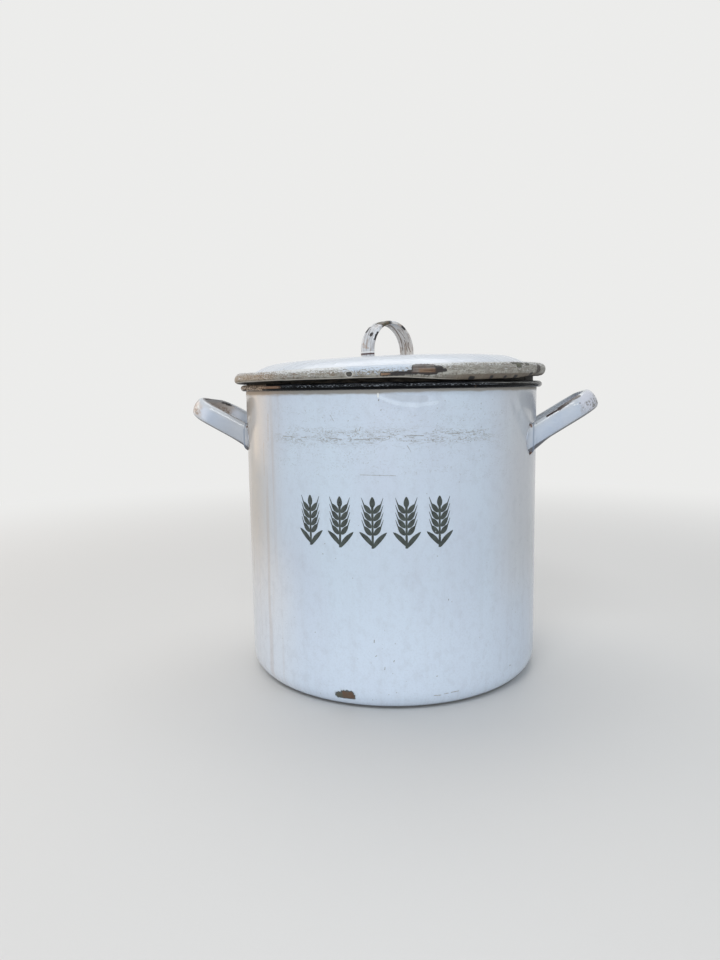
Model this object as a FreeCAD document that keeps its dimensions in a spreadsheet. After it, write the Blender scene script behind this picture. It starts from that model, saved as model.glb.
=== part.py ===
import FreeCAD
import Part
import Sketcher
import math
import os
import re

# An enamelled steel bread bin: a straight-sided round bin with a wired rim, a pressed base pan and
# two strap handles, and a lift-off domed lid with a rolled edge, a locating collar and a strap handle.
# Frame: millimetres, +Z up, the origin on the table at the bin's axis, the decorated front towards -Y.

SIZES = [
    # alias, value, what it is
    ("sheet_thickness", 1.0, "steel sheet of bin and lid, enamel included"),
    ("wall_outer_radius", 147.0, "outside of the bin's wall"),
    ("rim_top_height", 289.0, "top of the wired rim above the table"),
    ("rim_wire_radius", 2.0, "hollow that the rim's curl leaves for its wire"),
    ("rim_wire_clearance", 0.05, "between the wire and the curl round it"),
    ("rim_curl_angle", 305.0, "how far the sheet is rolled round the wire, degrees"),
    ("pan_skirt_height", 26.0, "seam between base pan and wall, above the table"),
    ("pan_corner_radius", 19.0, "outside bend between skirt and base"),
    ("pan_ring_width", 12.0, "flat ring that the bin stands on"),
    ("pan_step_width", 7.0, "slope from the ring to the raised panel"),
    ("pan_panel_rise", 3.0, "raised panel above the table"),
    ("grip_root_height", 236.0, "middle of a side handle's strap where it meets the wall"),
    ("grip_tilt", 32.0, "rise of a side handle from the horizontal, degrees"),
    ("grip_reach", 72.0, "strap from the wall to its outer face, along the tilt"),
    ("grip_span", 102.0, "side handle over the outer faces of its legs"),
    ("grip_bend_radius", 27.0, "outer face at the loop's two bends"),
    ("grip_strap_width", 20.0, "width of the side handle's strap"),
    ("grip_strap_depth", 6.0, "outer face to the tips of the turned-in edges"),
    ("grip_edge_radius", 4.5, "outside bend of those edges"),
    ("grip_thickness", 1.4, "sheet of the side handles"),
    ("foot_height", 29.0, "half-moon foot, along the wall's height"),
    ("foot_width", 12.0, "half-moon foot, from the leg's outer face"),
    ("foot_thickness", 1.4, "half-moon foot on the wall"),
    ("lid_seat_gap", 1.8, "lid's edge above the bin's rim when the lid is on"),
    ("lid_edge_gap", 0.1, "between the rolled edge and the collar"),
    ("lid_edge_radius", 5.5, "outside of the lid's rolled edge"),
    ("lid_edge_join_angle", 30.0, "where the gutter meets the roll, above its centre, degrees"),
    ("lid_edge_end_angle", 195.0, "free edge of the roll, degrees round from +X"),
    ("lid_gutter_radius", 2.5, "valley between the rolled edge and the shoulder"),
    ("lid_shoulder_radius", 45.0, "bend between the lid's flank and its dome"),
    ("lid_dome_radius", 1600.0, "shallow dome of the lid"),
    ("lid_rise", 26.0, "top of the dome above the bin's rim"),
    ("collar_clearance", 0.8, "between the lid's collar and the bin's wall and rim"),
    ("collar_depth", 16.0, "collar below the bin's rim"),
    ("bow_turn", 52.0, "lid handle about the bin's axis, degrees from +X"),
    ("bow_rise", 36.6, "lid handle's top above the dome"),
    ("bow_radius", 31.2, "outer face of the lid handle's arch"),
    ("bow_splay", 3.0, "lean of the lid handle's legs, degrees"),
    ("bow_strap_width", 18.0, "width of the lid handle's strap"),
    ("bow_strap_depth", 3.6, "outer face to the tips of the turned-in edges"),
    ("bow_edge_radius", 2.6, "outside bend of those edges"),
    ("bow_thickness", 1.5, "sheet of the lid handle"),
    ("bow_foot_length", 11.0, "foot under the arch, from the leg's outer face"),
]
ALIASES = {alias for alias, _, _ in SIZES}
SAME_PLACE = 1e-6  # points nearer than this are one point, mm

doc = FreeCAD.newDocument("bread_bin")
sheet = doc.addObject("Spreadsheet::Sheet", "sizes")
for row, (alias, value, meaning) in enumerate(SIZES, start=1):
    sheet.set(f"A{row}", meaning)
    sheet.set(f"B{row}", str(value))
    sheet.setAlias(f"B{row}", alias)
doc.recompute()


def number(expression):
    """The value of an expression in the sheet's sizes."""
    value = sheet.evalExpression(expression)
    return float(getattr(value, "Value", value))


# Places that several pieces share, as expressions in the sheet's sizes.
WALL_INNER = "(wall_outer_radius - sheet_thickness)"
CURL_RADIUS = "(rim_wire_radius + sheet_thickness)"
WIRE_ACROSS = "(wall_outer_radius + rim_wire_radius)"
WIRE_UP = f"(rim_top_height - {CURL_RADIUS})"
LID_TOP = "(rim_top_height + lid_rise)"
COLLAR_OUTER = f"({WALL_INNER} - collar_clearance)"
EDGE_ACROSS = f"({COLLAR_OUTER} + lid_edge_gap + lid_edge_radius)"
EDGE_UP = "(rim_top_height + lid_seat_gap + lid_edge_radius)"
GUTTER_ACROSS = f"({EDGE_ACROSS} - (lid_edge_radius + lid_gutter_radius) * cos(lid_edge_join_angle))"
GUTTER_UP = f"({EDGE_UP} + (lid_edge_radius + lid_gutter_radius) * sin(lid_edge_join_angle))"
BOW_CENTRE_UP = f"({LID_TOP} + bow_rise - bow_radius)"
BOW_TOUCH_ACROSS = "(bow_radius * cos(bow_splay))"
BOW_TOUCH_UP = f"({BOW_CENTRE_UP} + bow_radius * sin(bow_splay))"


# Sketch helpers -----------------------------------------------------------------------------------


def in_sheet(expression):
    """The same expression as another object of the document has to write it."""
    return re.sub(r"[a-z_]+", lambda word: f"sizes.{word[0]}" if word[0] in ALIASES else word[0], expression)


def new_body(label):
    body = doc.addObject("PartDesign::Body", label)
    body.Label = label
    return body


def new_sketch(body, name, plane, offset=None, turn_axis=None, turn=None):
    """A sketch on one of the body's own planes, moved and turned in that plane's own directions."""
    sketch = body.newObject("Sketcher::SketchObject", name)
    origin_plane = [f for f in body.Origin.OriginFeatures if f.Role == plane][0]
    sketch.AttachmentSupport = [(origin_plane, "")]
    sketch.MapMode = "FlatFace"
    place = FreeCAD.Placement()
    if turn is not None:
        place.Rotation = FreeCAD.Rotation(FreeCAD.Vector(*turn_axis), number(turn))
    if offset is not None:
        place.Base = FreeCAD.Vector(*[number(part) for part in offset])
    sketch.AttachmentOffset = place
    if offset is not None:
        for axis, part in zip("xyz", offset):
            sketch.setExpression(f"AttachmentOffset.Base.{axis}", in_sheet(part))
    if turn is not None:
        sketch.setExpression("AttachmentOffset.Rotation.Angle", in_sheet(turn))
    doc.recompute()
    return sketch


def dimension(sketch, name, kind, references, expression):
    """A dimension of the sketch that follows an expression in the sheet's sizes."""
    value = number(expression)
    if kind in ("DistanceX", "DistanceY") and value < 0:
        references = references[2:] + references[:2]
        expression = f"-({expression})"
        value = -value
    index = sketch.addConstraint(Sketcher.Constraint(kind, *references, value))
    sketch.renameConstraint(index, name)
    sketch.setExpression(f"Constraints.{name}", in_sheet(expression))


def place_point(sketch, name, edge, end, across, up):
    """Holds one end of an edge at (across, up) from the sketch's origin."""
    horizontal_axis, vertical_axis = -1, -2
    for way, kind, line, expression in (
        ("across", "DistanceX", vertical_axis, across),
        ("up", "DistanceY", horizontal_axis, up),
    ):
        if abs(number(expression)) < SAME_PLACE:
            sketch.addConstraint(Sketcher.Constraint("PointOnObject", edge, end, line))
        else:
            dimension(sketch, f"{name}_{way}", kind, (-1, 1, edge, end), expression)


def crown_of(start, finish, radius, bulge_left, over_half):
    """The middle of the arc from start to finish, which bulges to the left or right of that direction."""
    chord = finish - start
    left = FreeCAD.Vector(-chord.y, chord.x, 0).normalize()
    away = math.sqrt(radius**2 - (chord.Length / 2) ** 2)
    rise = radius + away if over_half else radius - away
    return start + chord * 0.5 + (left if bulge_left else -left) * rise


def trace(sketch, points, arcs=None, prefix="corner", closed=True):
    """Edges through points, each a pair of expressions. arcs gives, for an edge's number, its radius, whether
    it bulges to the left of its direction, and whether it is more than half a circle."""
    arcs = arcs or {}
    spots = [FreeCAD.Vector(number(across), number(up), 0) for across, up in points]
    first = sketch.GeometryCount
    edge_count = len(points) if closed else len(points) - 1
    ends = []
    for i in range(edge_count):
        start, finish = spots[i], spots[(i + 1) % len(spots)]
        if i in arcs:
            radius, bulge_left, over_half = arcs[i]
            crown = crown_of(start, finish, number(radius), bulge_left, over_half)
            sketch.addGeometry(Part.ArcOfCircle(start, crown, finish))
        else:
            sketch.addGeometry(Part.LineSegment(start, finish))
        # an arc runs anticlockwise, so its ends swap where the outline goes round it clockwise
        swapped = sketch.getPoint(first + i, 1).distanceToPoint(start) > SAME_PLACE
        ends.append((2, 1) if swapped else (1, 2))
    for i, (start_end, _) in enumerate(ends):
        if i or closed:
            before = (i - 1) % edge_count
            joined = (first + before, ends[before][1], first + i, start_end)
            sketch.addConstraint(Sketcher.Constraint("Coincident", *joined))
        place_point(sketch, f"{prefix}{i}", first + i, start_end, *points[i])
    if not closed:
        place_point(sketch, f"{prefix}{edge_count}", first + edge_count - 1, ends[-1][1], *points[-1])
    for i, (radius, _, _) in arcs.items():
        dimension(sketch, f"{prefix}{i}_radius", "Radius", (first + i,), radius)


def revolve(body, name, sketch, cut=False):
    """Turns a sketch right round the body's vertical axis, as material or as a cut."""
    kind = "PartDesign::Groove" if cut else "PartDesign::Revolution"
    feature = body.newObject(kind, name)
    feature.Profile = sketch
    feature.ReferenceAxis = (sketch, ["V_Axis"])
    feature.Angle = 360
    doc.recompute()
    return feature


def pad(body, name, sketch, length, both_ways=False):
    feature = body.newObject("PartDesign::Pad", name)
    feature.Profile = sketch
    feature.setExpression("Length", in_sheet(length))
    feature.Midplane = both_ways
    doc.recompute()
    return feature


def pipe(body, name, section, path):
    feature = body.newObject("PartDesign::AdditivePipe", name)
    feature.Profile = section
    feature.Spine = path
    doc.recompute()
    return feature


def turned_about_axis(body, name, points, arcs=None):
    """A whole ring or disc: an outline beside the vertical axis, revolved."""
    sketch = new_sketch(body, f"{name}_section", "XZ_Plane")
    trace(sketch, points, arcs)
    return revolve(body, name, sketch)


def strap_section(sketch, kind, inwards):
    """Section of a channel strap whose sizes start with kind: its outer face on the sketch's vertical line,
    both edges bent towards inwards (+1, -1)."""
    width, depth = f"{kind}_strap_width", f"{kind}_strap_depth"
    edge_radius, thickness = f"{kind}_edge_radius", f"{kind}_thickness"
    sign = "" if inwards > 0 else "-"
    half = f"({width} / 2)"
    flat = f"({half} - {edge_radius})"
    inside = f"({half} - {thickness})"
    upper_half = [
        ("0", flat),
        (f"{sign}{edge_radius}", half),
        (f"{sign}{depth}", half),
        (f"{sign}{depth}", inside),
        (f"{sign}{edge_radius}", inside),
        (f"{sign}{thickness}", flat),
    ]
    lower_half = [(across, f"-{up}") for across, up in reversed(upper_half)]
    outer_left = inwards > 0
    inner_radius = f"({edge_radius} - {thickness})"
    arcs = {
        0: (edge_radius, outer_left, False),
        4: (inner_radius, not outer_left, False),
        6: (inner_radius, not outer_left, False),
        10: (edge_radius, outer_left, False),
    }
    trace(sketch, upper_half + lower_half, arcs)


# The bin ------------------------------------------------------------------------------------------


def make_bin_wall():
    """Rolled sheet, its top edge curled outwards round a wire."""
    body = new_body("bin_wall")
    end = "(180 - rim_curl_angle)"
    points = [
        (WALL_INNER, "pan_skirt_height"),
        (WALL_INNER, WIRE_UP),
        (f"{WIRE_ACROSS} + {CURL_RADIUS} * cos({end})", f"{WIRE_UP} + {CURL_RADIUS} * sin({end})"),
        (f"{WIRE_ACROSS} + rim_wire_radius * cos({end})", f"{WIRE_UP} + rim_wire_radius * sin({end})"),
        ("wall_outer_radius", WIRE_UP),
        ("wall_outer_radius", "pan_skirt_height"),
    ]
    over_half = number("rim_curl_angle") > 180
    arcs = {1: (CURL_RADIUS, True, over_half), 3: ("rim_wire_radius", False, over_half)}
    turned_about_axis(body, "wall_ring", points, arcs)
    return body


def make_bin_rim_wire():
    """Round wire inside the rim's curl."""
    body = new_body("bin_rim_wire")
    sketch = new_sketch(body, "wire_section", "XZ_Plane")
    radius = "(rim_wire_radius - rim_wire_clearance)"
    centre = FreeCAD.Vector(number(WIRE_ACROSS), number(WIRE_UP), 0)
    sketch.addGeometry(Part.Circle(centre, FreeCAD.Vector(0, 0, 1), number(radius)))
    place_point(sketch, "wire", 0, 3, WIRE_ACROSS, WIRE_UP)
    dimension(sketch, "wire_radius", "Radius", (0,), radius)
    revolve(body, "wire_ring", sketch)
    return body


def make_bin_base():
    """Pressed pan: a skirt that meets the wall, a round corner, a ring to stand on and a raised panel."""
    body = new_body("bin_base")
    ring_outer = "(wall_outer_radius - pan_corner_radius)"
    ring_inner = f"({ring_outer} - pan_ring_width)"
    panel = f"({ring_inner} - pan_step_width)"
    points = [
        ("0", "pan_panel_rise"),
        (panel, "pan_panel_rise"),
        (ring_inner, "0"),
        (ring_outer, "0"),
        ("wall_outer_radius", "pan_corner_radius"),
        ("wall_outer_radius", "pan_skirt_height"),
        (WALL_INNER, "pan_skirt_height"),
        (WALL_INNER, "pan_corner_radius"),
        (ring_outer, "sheet_thickness"),
        (ring_inner, "sheet_thickness"),
        (panel, "pan_panel_rise + sheet_thickness"),
        ("0", "pan_panel_rise + sheet_thickness"),
    ]
    inner_corner = "(pan_corner_radius - sheet_thickness)"
    arcs = {3: ("pan_corner_radius", False, False), 7: (inner_corner, True, False)}
    turned_about_axis(body, "pan", points, arcs)
    return body


def add_handle_feet(body):
    """A half-moon on the wall beside each leg: a block through the wall, cut to a curved sheet."""
    leg_outer = "(grip_span / 2)"
    leg_inner = f"({leg_outer} - grip_strap_depth)"
    low, high = "(grip_root_height - foot_height / 2)", "(grip_root_height + foot_height / 2)"
    bend = "(((foot_height / 2)^2 + foot_width^2) / (2 * foot_width))"
    over_half = number("foot_width - foot_height / 2") > 0
    outlines = new_sketch(body, "feet_outline", "YZ_Plane")
    for side, sign in (("near", "-"), ("far", "")):
        inner, outer = f"{sign}{leg_inner}", f"{sign}{leg_outer}"
        points = [(inner, low), (outer, low), (outer, high), (inner, high)]
        trace(outlines, points, {1: (bend, side == "near", over_half)}, prefix=side)
    pad(body, "feet_blocks", outlines, "(wall_outer_radius + foot_thickness)")
    outer = "(wall_outer_radius + foot_thickness)"
    clear_of_feet(body, "feet_curved", outer, f"({outer} * 2)")


def clear_of_feet(body, name, inner, outer):
    """Cuts the ring between two radii away, over the whole height of a side handle's feet."""
    low = "(grip_root_height - foot_height - grip_strap_width)"
    high = "(grip_root_height + foot_height + grip_strap_width)"
    sketch = new_sketch(body, f"{name}_section", "XZ_Plane")
    trace(sketch, [(inner, low), (outer, low), (outer, high), (inner, high)])
    revolve(body, name, sketch, cut=True)


def make_side_handle(label, turn):
    """A channel strap bent into a loop, with half-moon feet on the wall. It is drawn on the +X side and
    turned about the bin's axis."""
    body = new_body(label)
    add_handle_feet(body)

    half = "(grip_span / 2)"
    wall_at_leg = f"sqrt(wall_outer_radius^2 - {half}^2)"
    start = "(-2 * grip_strap_depth)"
    bend_along = "(grip_reach - grip_bend_radius)"
    bend_aside = f"({half} - grip_bend_radius)"
    root = (wall_at_leg, "0", "grip_root_height")
    path = new_sketch(body, "loop_path", "XY_Plane", root, turn_axis=(0, 1, 0), turn="-grip_tilt")
    points = [
        (start, f"-{half}"),
        (bend_along, f"-{half}"),
        ("grip_reach", f"-{bend_aside}"),
        ("grip_reach", bend_aside),
        (bend_along, half),
        (start, half),
    ]
    bend = ("grip_bend_radius", False, False)
    trace(path, points, {1: bend, 3: bend}, closed=False)

    start_up = f"grip_root_height + {start} * sin(grip_tilt)"
    start_across = f"{wall_at_leg} + {start} * cos(grip_tilt)"
    path_start = (f"-{half}", start_up, start_across)
    section = new_sketch(body, "strap_section", "YZ_Plane", path_start, (1, 0, 0), "-grip_tilt")
    strap_section(section, "grip", inwards=1)
    pipe(body, "strap_loop", section, path)
    clear_of_feet(body, "strap_trimmed", "0", "wall_outer_radius")
    body.Placement.Rotation = FreeCAD.Rotation(FreeCAD.Vector(0, 0, 1), turn)
    return body


# The lid ------------------------------------------------------------------------------------------


def direction(start, finish):
    return math.atan2(finish.y - start.y, finish.x - start.x)


def lid_centres():
    """Centres of the dome, shoulder, gutter and rolled edge, each arc touching the next."""
    dome = FreeCAD.Vector(0, number(f"{LID_TOP} - lid_dome_radius"), 0)
    edge = FreeCAD.Vector(number(EDGE_ACROSS), number(EDGE_UP), 0)
    gutter = FreeCAD.Vector(number(GUTTER_ACROSS), number(GUTTER_UP), 0)
    from_dome = number("lid_dome_radius - lid_shoulder_radius")
    from_gutter = number("lid_gutter_radius + lid_shoulder_radius")
    apart = gutter - dome
    along = (from_dome**2 - from_gutter**2 + apart.Length**2) / (2 * apart.Length)
    aside = math.sqrt(from_dome**2 - along**2)
    unit = FreeCAD.Vector(apart).normalize()
    shoulder = dome + unit * along + FreeCAD.Vector(-unit.y, unit.x, 0) * aside
    return dome, shoulder, gutter, edge


def lid_chain(sketch, inset):
    """One face of the lid's sheet, inset under the outside one: four touching arcs from the dome's top to
    the free edge of the roll. Returns the number of the first."""
    dome, shoulder, gutter, edge = lid_centres()
    first = sketch.GeometryCount
    turns = [
        (dome, number("lid_dome_radius") - inset, direction(dome, shoulder), math.pi / 2),
        (
            shoulder,
            number("lid_shoulder_radius") - inset,
            direction(shoulder, gutter),
            direction(dome, shoulder),
        ),
        (
            gutter,
            number("lid_gutter_radius") + inset,
            direction(gutter, shoulder) % math.tau,
            direction(gutter, edge) % math.tau,
        ),
        (
            edge,
            number("lid_edge_radius") - inset,
            math.radians(number("lid_edge_end_angle")) - math.tau,
            math.radians(180 - number("lid_edge_join_angle")),
        ),
    ]
    for centre, radius, begin, finish in turns:
        circle = Part.Circle(centre, FreeCAD.Vector(0, 0, 1), radius)
        sketch.addGeometry(Part.ArcOfCircle(circle, begin, finish))
    sketch.addConstraint(Sketcher.Constraint("PointOnObject", first, 2, -2))
    for arc, end, next_end in ((0, 1, 2), (1, 1, 1), (2, 2, 2)):
        sketch.addConstraint(Sketcher.Constraint("Tangent", first + arc, end, first + arc + 1, next_end))
    return first


def make_lid_shell():
    """Pressed lid: a shallow dome, a rounded shoulder, a gutter and a hollow rolled edge."""
    body = new_body("lid_shell")
    sketch = new_sketch(body, "lid_section", "XZ_Plane")
    top = lid_chain(sketch, 0.0)
    dome, shoulder, gutter, edge = range(top, top + 4)
    sketch.addConstraint(Sketcher.Constraint("PointOnObject", dome, 3, -2))
    dimension(sketch, "dome_top", "DistanceY", (-1, 1, dome, 2), LID_TOP)
    dimension(sketch, "gutter_up", "DistanceY", (-1, 1, gutter, 3), GUTTER_UP)
    place_point(sketch, "edge", edge, 3, EDGE_ACROSS, EDGE_UP)
    free_edge_up = f"{EDGE_UP} + lid_edge_radius * sin(lid_edge_end_angle)"
    dimension(sketch, "free_edge_up", "DistanceY", (-1, 1, edge, 1), free_edge_up)
    for name, arc in (("dome", dome), ("shoulder", shoulder), ("gutter", gutter), ("edge", edge)):
        dimension(sketch, f"{name}_radius", "Radius", (arc,), f"lid_{name}_radius")

    under = lid_chain(sketch, number("sheet_thickness"))
    dimension(sketch, "underside", "Radius", (under,), "lid_dome_radius - sheet_thickness")
    for arc in range(4):
        sketch.addConstraint(Sketcher.Constraint("Coincident", top + arc, 3, under + arc, 3))
    for arc, end in ((0, 2), (3, 1)):
        ends = sketch.getPoint(top + arc, end), sketch.getPoint(under + arc, end)
        line = sketch.addGeometry(Part.LineSegment(*ends))
        sketch.addConstraint(Sketcher.Constraint("Coincident", line, 1, top + arc, end))
        sketch.addConstraint(Sketcher.Constraint("Coincident", line, 2, under + arc, end))
    sketch.addConstraint(Sketcher.Constraint("PointOnObject", edge, 3, line))
    revolve(body, "lid_pressing", sketch)
    return body


def make_lid_collar():
    """Plain ring under the gutter that keeps the lid central in the bin's mouth."""
    body = new_body("lid_collar")
    bottom = "(rim_top_height - collar_depth)"
    inner = f"({COLLAR_OUTER} - sheet_thickness)"
    gutter_under = "(lid_gutter_radius + sheet_thickness)"
    points = [(inner, bottom), (COLLAR_OUTER, bottom)]
    for across in (COLLAR_OUTER, inner):
        points.append((across, f"({GUTTER_UP} - sqrt({gutter_under}^2 - ({across} - {GUTTER_ACROSS})^2))"))
    turned_about_axis(body, "collar_ring", points, {2: (gutter_under, True, False)})
    return body


def leg_outer_at(height):
    """How far the outer face of a lid handle's leg is from the axis at a height."""
    return f"({BOW_TOUCH_ACROSS} + ({BOW_TOUCH_UP} - ({height})) * tan(bow_splay))"


def make_lid_handle():
    """Channel strap bent into an arch, with a flat foot turned in under each end. It is drawn along X, cut
    to the dome below, and turned about the bin's axis. Its legs lean, and touch the arch at its ends."""
    body = new_body("lid_handle")
    below = f"({LID_TOP} - bow_strap_depth)"
    leg_end = leg_outer_at(below)
    path = new_sketch(body, "arch_path", "XZ_Plane")
    points = [
        (leg_end, below),
        (BOW_TOUCH_ACROSS, BOW_TOUCH_UP),
        (f"-{BOW_TOUCH_ACROSS}", BOW_TOUCH_UP),
        (f"-{leg_end}", below),
    ]
    trace(path, points, {1: ("bow_radius", False, number("bow_splay") < 0)}, closed=False)
    section = new_sketch(
        body, "strap_section", "XY_Plane", (leg_end, "0", below), turn_axis=(0, 1, 0), turn="-bow_splay"
    )
    strap_section(section, "bow", inwards=-1)
    pipe(body, "strap_arch", section, path)

    feet = new_sketch(body, "feet_outline", "XZ_Plane")
    foot_top = f"({LID_TOP} + bow_thickness)"
    foot_outer = f"({leg_outer_at(foot_top)} - bow_thickness)"
    foot_inner = f"({foot_outer} - bow_foot_length)"
    for side, sign in (("right", ""), ("left", "-")):
        inner, outer = f"{sign}{foot_inner}", f"{sign}{foot_outer}"
        trace(feet, [(inner, below), (outer, below), (outer, foot_top), (inner, foot_top)], prefix=side)
    pad(body, "feet", feet, "(bow_strap_width - 2 * bow_thickness)", both_ways=True)

    lid = new_sketch(body, "dome_section", "XZ_Plane")
    beyond = f"({leg_end} * 2)"
    dome_there = f"({LID_TOP} - lid_dome_radius + sqrt(lid_dome_radius^2 - {beyond}^2))"
    deep = f"({below} - bow_strap_depth)"
    trace(
        lid,
        [("0", deep), (beyond, deep), (beyond, dome_there), ("0", LID_TOP)],
        {2: ("lid_dome_radius", False, False)},
    )
    revolve(body, "cut_to_dome", lid, cut=True)
    body.setExpression("Placement.Rotation.Angle", "sizes.bow_turn")
    return body


# Build, check and write ---------------------------------------------------------------------------

bodies = [
    make_bin_wall(),
    make_bin_rim_wire(),
    make_bin_base(),
    make_side_handle("right_handle", 0),
    make_side_handle("left_handle", 180),
    make_lid_shell(),
    make_lid_collar(),
    make_lid_handle(),
]
doc.recompute()

for item in doc.Objects:
    if "Invalid" in item.State or "Error" in item.State:
        raise RuntimeError(f"{item.Label} failed to build: {item.State}")
for body in bodies:
    if body.Shape.isNull() or not body.Shape.isValid() or not body.Shape.Solids:
        raise RuntimeError(f"{body.Label} has no valid solid")

os.makedirs("parts", exist_ok=True)
for body in bodies:
    body.Shape.exportStep(f"parts/{body.Label}.step")
    box = body.Shape.BoundBox
    print(f"{body.Label}: {len(body.Shape.Solids)} solid, {body.Shape.Volume / 1000:.2f} cm3, {box}")
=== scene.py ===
import math

import bmesh
import bpy
from mathutils import Matrix, Vector


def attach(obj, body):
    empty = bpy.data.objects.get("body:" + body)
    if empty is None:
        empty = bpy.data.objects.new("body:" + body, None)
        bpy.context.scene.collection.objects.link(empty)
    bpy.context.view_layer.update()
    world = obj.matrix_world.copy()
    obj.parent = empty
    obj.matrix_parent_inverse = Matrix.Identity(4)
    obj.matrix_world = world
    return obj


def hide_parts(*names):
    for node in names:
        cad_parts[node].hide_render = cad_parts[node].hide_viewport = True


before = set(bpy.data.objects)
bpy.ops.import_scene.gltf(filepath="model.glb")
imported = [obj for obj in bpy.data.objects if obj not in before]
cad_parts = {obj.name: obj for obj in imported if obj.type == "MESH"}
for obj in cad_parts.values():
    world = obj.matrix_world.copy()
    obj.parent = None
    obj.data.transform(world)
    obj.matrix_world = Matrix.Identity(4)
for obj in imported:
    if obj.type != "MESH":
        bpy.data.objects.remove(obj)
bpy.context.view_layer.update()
print("frame loaded:", ", ".join(sorted(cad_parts)))


# modelling helpers; sizes in the dictionaries are millimetres and degrees

def mm(*values):
    scaled = tuple(value / 1000 for value in values)
    return scaled if len(scaled) > 1 else scaled[0]


def deselectAll():
    if bpy.context.mode != "OBJECT":
        bpy.ops.object.mode_set(mode="OBJECT")
    bpy.ops.object.select_all(action="DESELECT")


def activate(piece):
    deselectAll()
    piece.select_set(True)
    bpy.context.view_layer.objects.active = piece


def startEdit(piece):
    activate(piece)
    bpy.ops.object.mode_set(mode="EDIT")
    bpy.ops.mesh.select_mode(type="VERT")


def editWhole(piece):
    startEdit(piece)
    bpy.ops.mesh.select_all(action="SELECT")


def stopEdit():
    bpy.ops.object.mode_set(mode="OBJECT")


def newPiece(name):
    # the object that an operator has just added
    piece = bpy.context.active_object
    piece.name = piece.data.name = name
    return piece


def pick(piece, test):
    # selects the vertices of the piece in edit mode that pass the test
    mesh = bmesh.from_edit_mesh(piece.data)
    mesh.verts.ensure_lookup_table()
    for vertex in mesh.verts:
        vertex.select_set(bool(test(vertex)))
    mesh.select_flush_mode()
    bmesh.update_edit_mesh(piece.data, loop_triangles=False, destructive=False)


def settle(piece, turn=(0, 0, 0), move=(0, 0, 0)):
    # turns the piece about the origin, then moves it, and puts both into its mesh
    activate(piece)
    piece.rotation_euler = [math.radians(angle) for angle in turn]
    piece.location = mm(*move)
    bpy.ops.object.transform_apply(location=True, rotation=True, scale=True)


def joinTo(piece, others):
    activate(piece)
    for other in others:
        other.select_set(True)
    bpy.ops.object.join()


def addModifier(piece, kind, **settings):
    activate(piece)
    modifier = piece.modifiers.new(kind.title(), kind)
    for name, value in settings.items():
        setattr(modifier, name, value)
    bpy.ops.object.modifier_apply(modifier=modifier.name)


def thicken(piece, sheet, offset=0):
    addModifier(piece, "SOLIDIFY", thickness=mm(sheet), offset=offset, use_even_offset=True)


def roundEdges(piece, width, angle=50):
    addModifier(piece, "BEVEL", width=mm(width), segments=2, limit_method="ANGLE",
                angle_limit=math.radians(angle))


def makeUneven(piece, name, size, height, group):
    # slow bumps of the given size and height, where the group's weights allow
    texture = bpy.data.textures.new(name, "CLOUDS")
    texture.noise_scale = mm(size)
    texture.noise_depth = 2
    addModifier(piece, "DISPLACE", texture=texture, strength=mm(height), mid_level=0.5,
                texture_coords="LOCAL", vertex_group=group)


def closeNormals(piece):
    editWhole(piece)
    bpy.ops.mesh.remove_doubles(threshold=mm(0.01))
    bpy.ops.mesh.normals_make_consistent(inside=False)
    stopEdit()


def smooth(piece, angle=38):
    activate(piece)
    bpy.ops.object.shade_smooth_by_angle(angle=math.radians(angle))


def walkLine(name, points):
    # one vertex, walked along the points by extruding it; stays in edit mode
    deselectAll()
    bpy.ops.mesh.primitive_plane_add(size=mm(1), location=mm(*points[0]))
    piece = newPiece(name)
    bpy.ops.object.transform_apply(location=True)
    editWhole(piece)
    bpy.ops.mesh.merge(type="CENTER")
    for here, there in zip(points, points[1:]):
        step = mm(*(b - a for a, b in zip(here, there)))
        bpy.ops.mesh.extrude_region_move(TRANSFORM_OT_translate={"value": step})
    return piece


def lathe(name, outline, steps):
    # an outline of (across, up) spun once round the bin's axis
    piece = walkLine(name, [(across, 0, up) for across, up in outline])
    bpy.ops.mesh.select_all(action="SELECT")
    bpy.ops.mesh.spin(steps=steps, angle=math.tau, center=(0, 0, 0), axis=(0, 0, 1))
    stopEdit()
    closeNormals(piece)
    return piece


def loft(name, sections):
    # open sections with the same number of points, bridged one to the next
    count = len(sections[0])
    piece = walkLine(name, sections[0])
    for number, section in enumerate(sections[1:]):
        joinTo(piece, [walkLine(name + "Section", section)])
        startEdit(piece)
        pick(piece, lambda vertex: vertex.index >= number * count)
        bpy.ops.mesh.bridge_edge_loops()
    stopEdit()
    closeNormals(piece)
    return piece


def arcPoints(centre, radius, start, end, count):
    angles = [math.radians(start + (end - start) * step / count) for step in range(count + 1)]
    return [(centre[0] + radius * math.cos(a), centre[1] + radius * math.sin(a)) for a in angles]


def runPoints(start, end, count):
    # evenly spaced points after the start
    return [tuple(a + (b - a) * step / count for a, b in zip(start, end)) for step in range(1, count + 1)]


def weightGroup(piece, name, weigh):
    # weigh gets a place in millimetres and gives a weight from 0 to 1
    group = piece.vertex_groups.new(name=name)
    for vertex in piece.data.vertices:
        weight = weigh(vertex.co * 1000)
        if weight > 0:
            group.add([vertex.index], min(weight, 1), "REPLACE")
    return group.name


def wall(angle, up, radius):
    # a place on the round wall, the angle counted from the front towards +X
    turn = math.radians(angle)
    return Vector((radius * math.sin(turn), -radius * math.cos(turn), up))


def steady(value, low, high):
    # 0 below low, 1 above high, eased between
    share = min(max((value - low) / (high - low), 0), 1)
    return share * share * (3 - 2 * share)


# the bin: one enamelled shell, its top edge curled outwards round the wire

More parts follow.
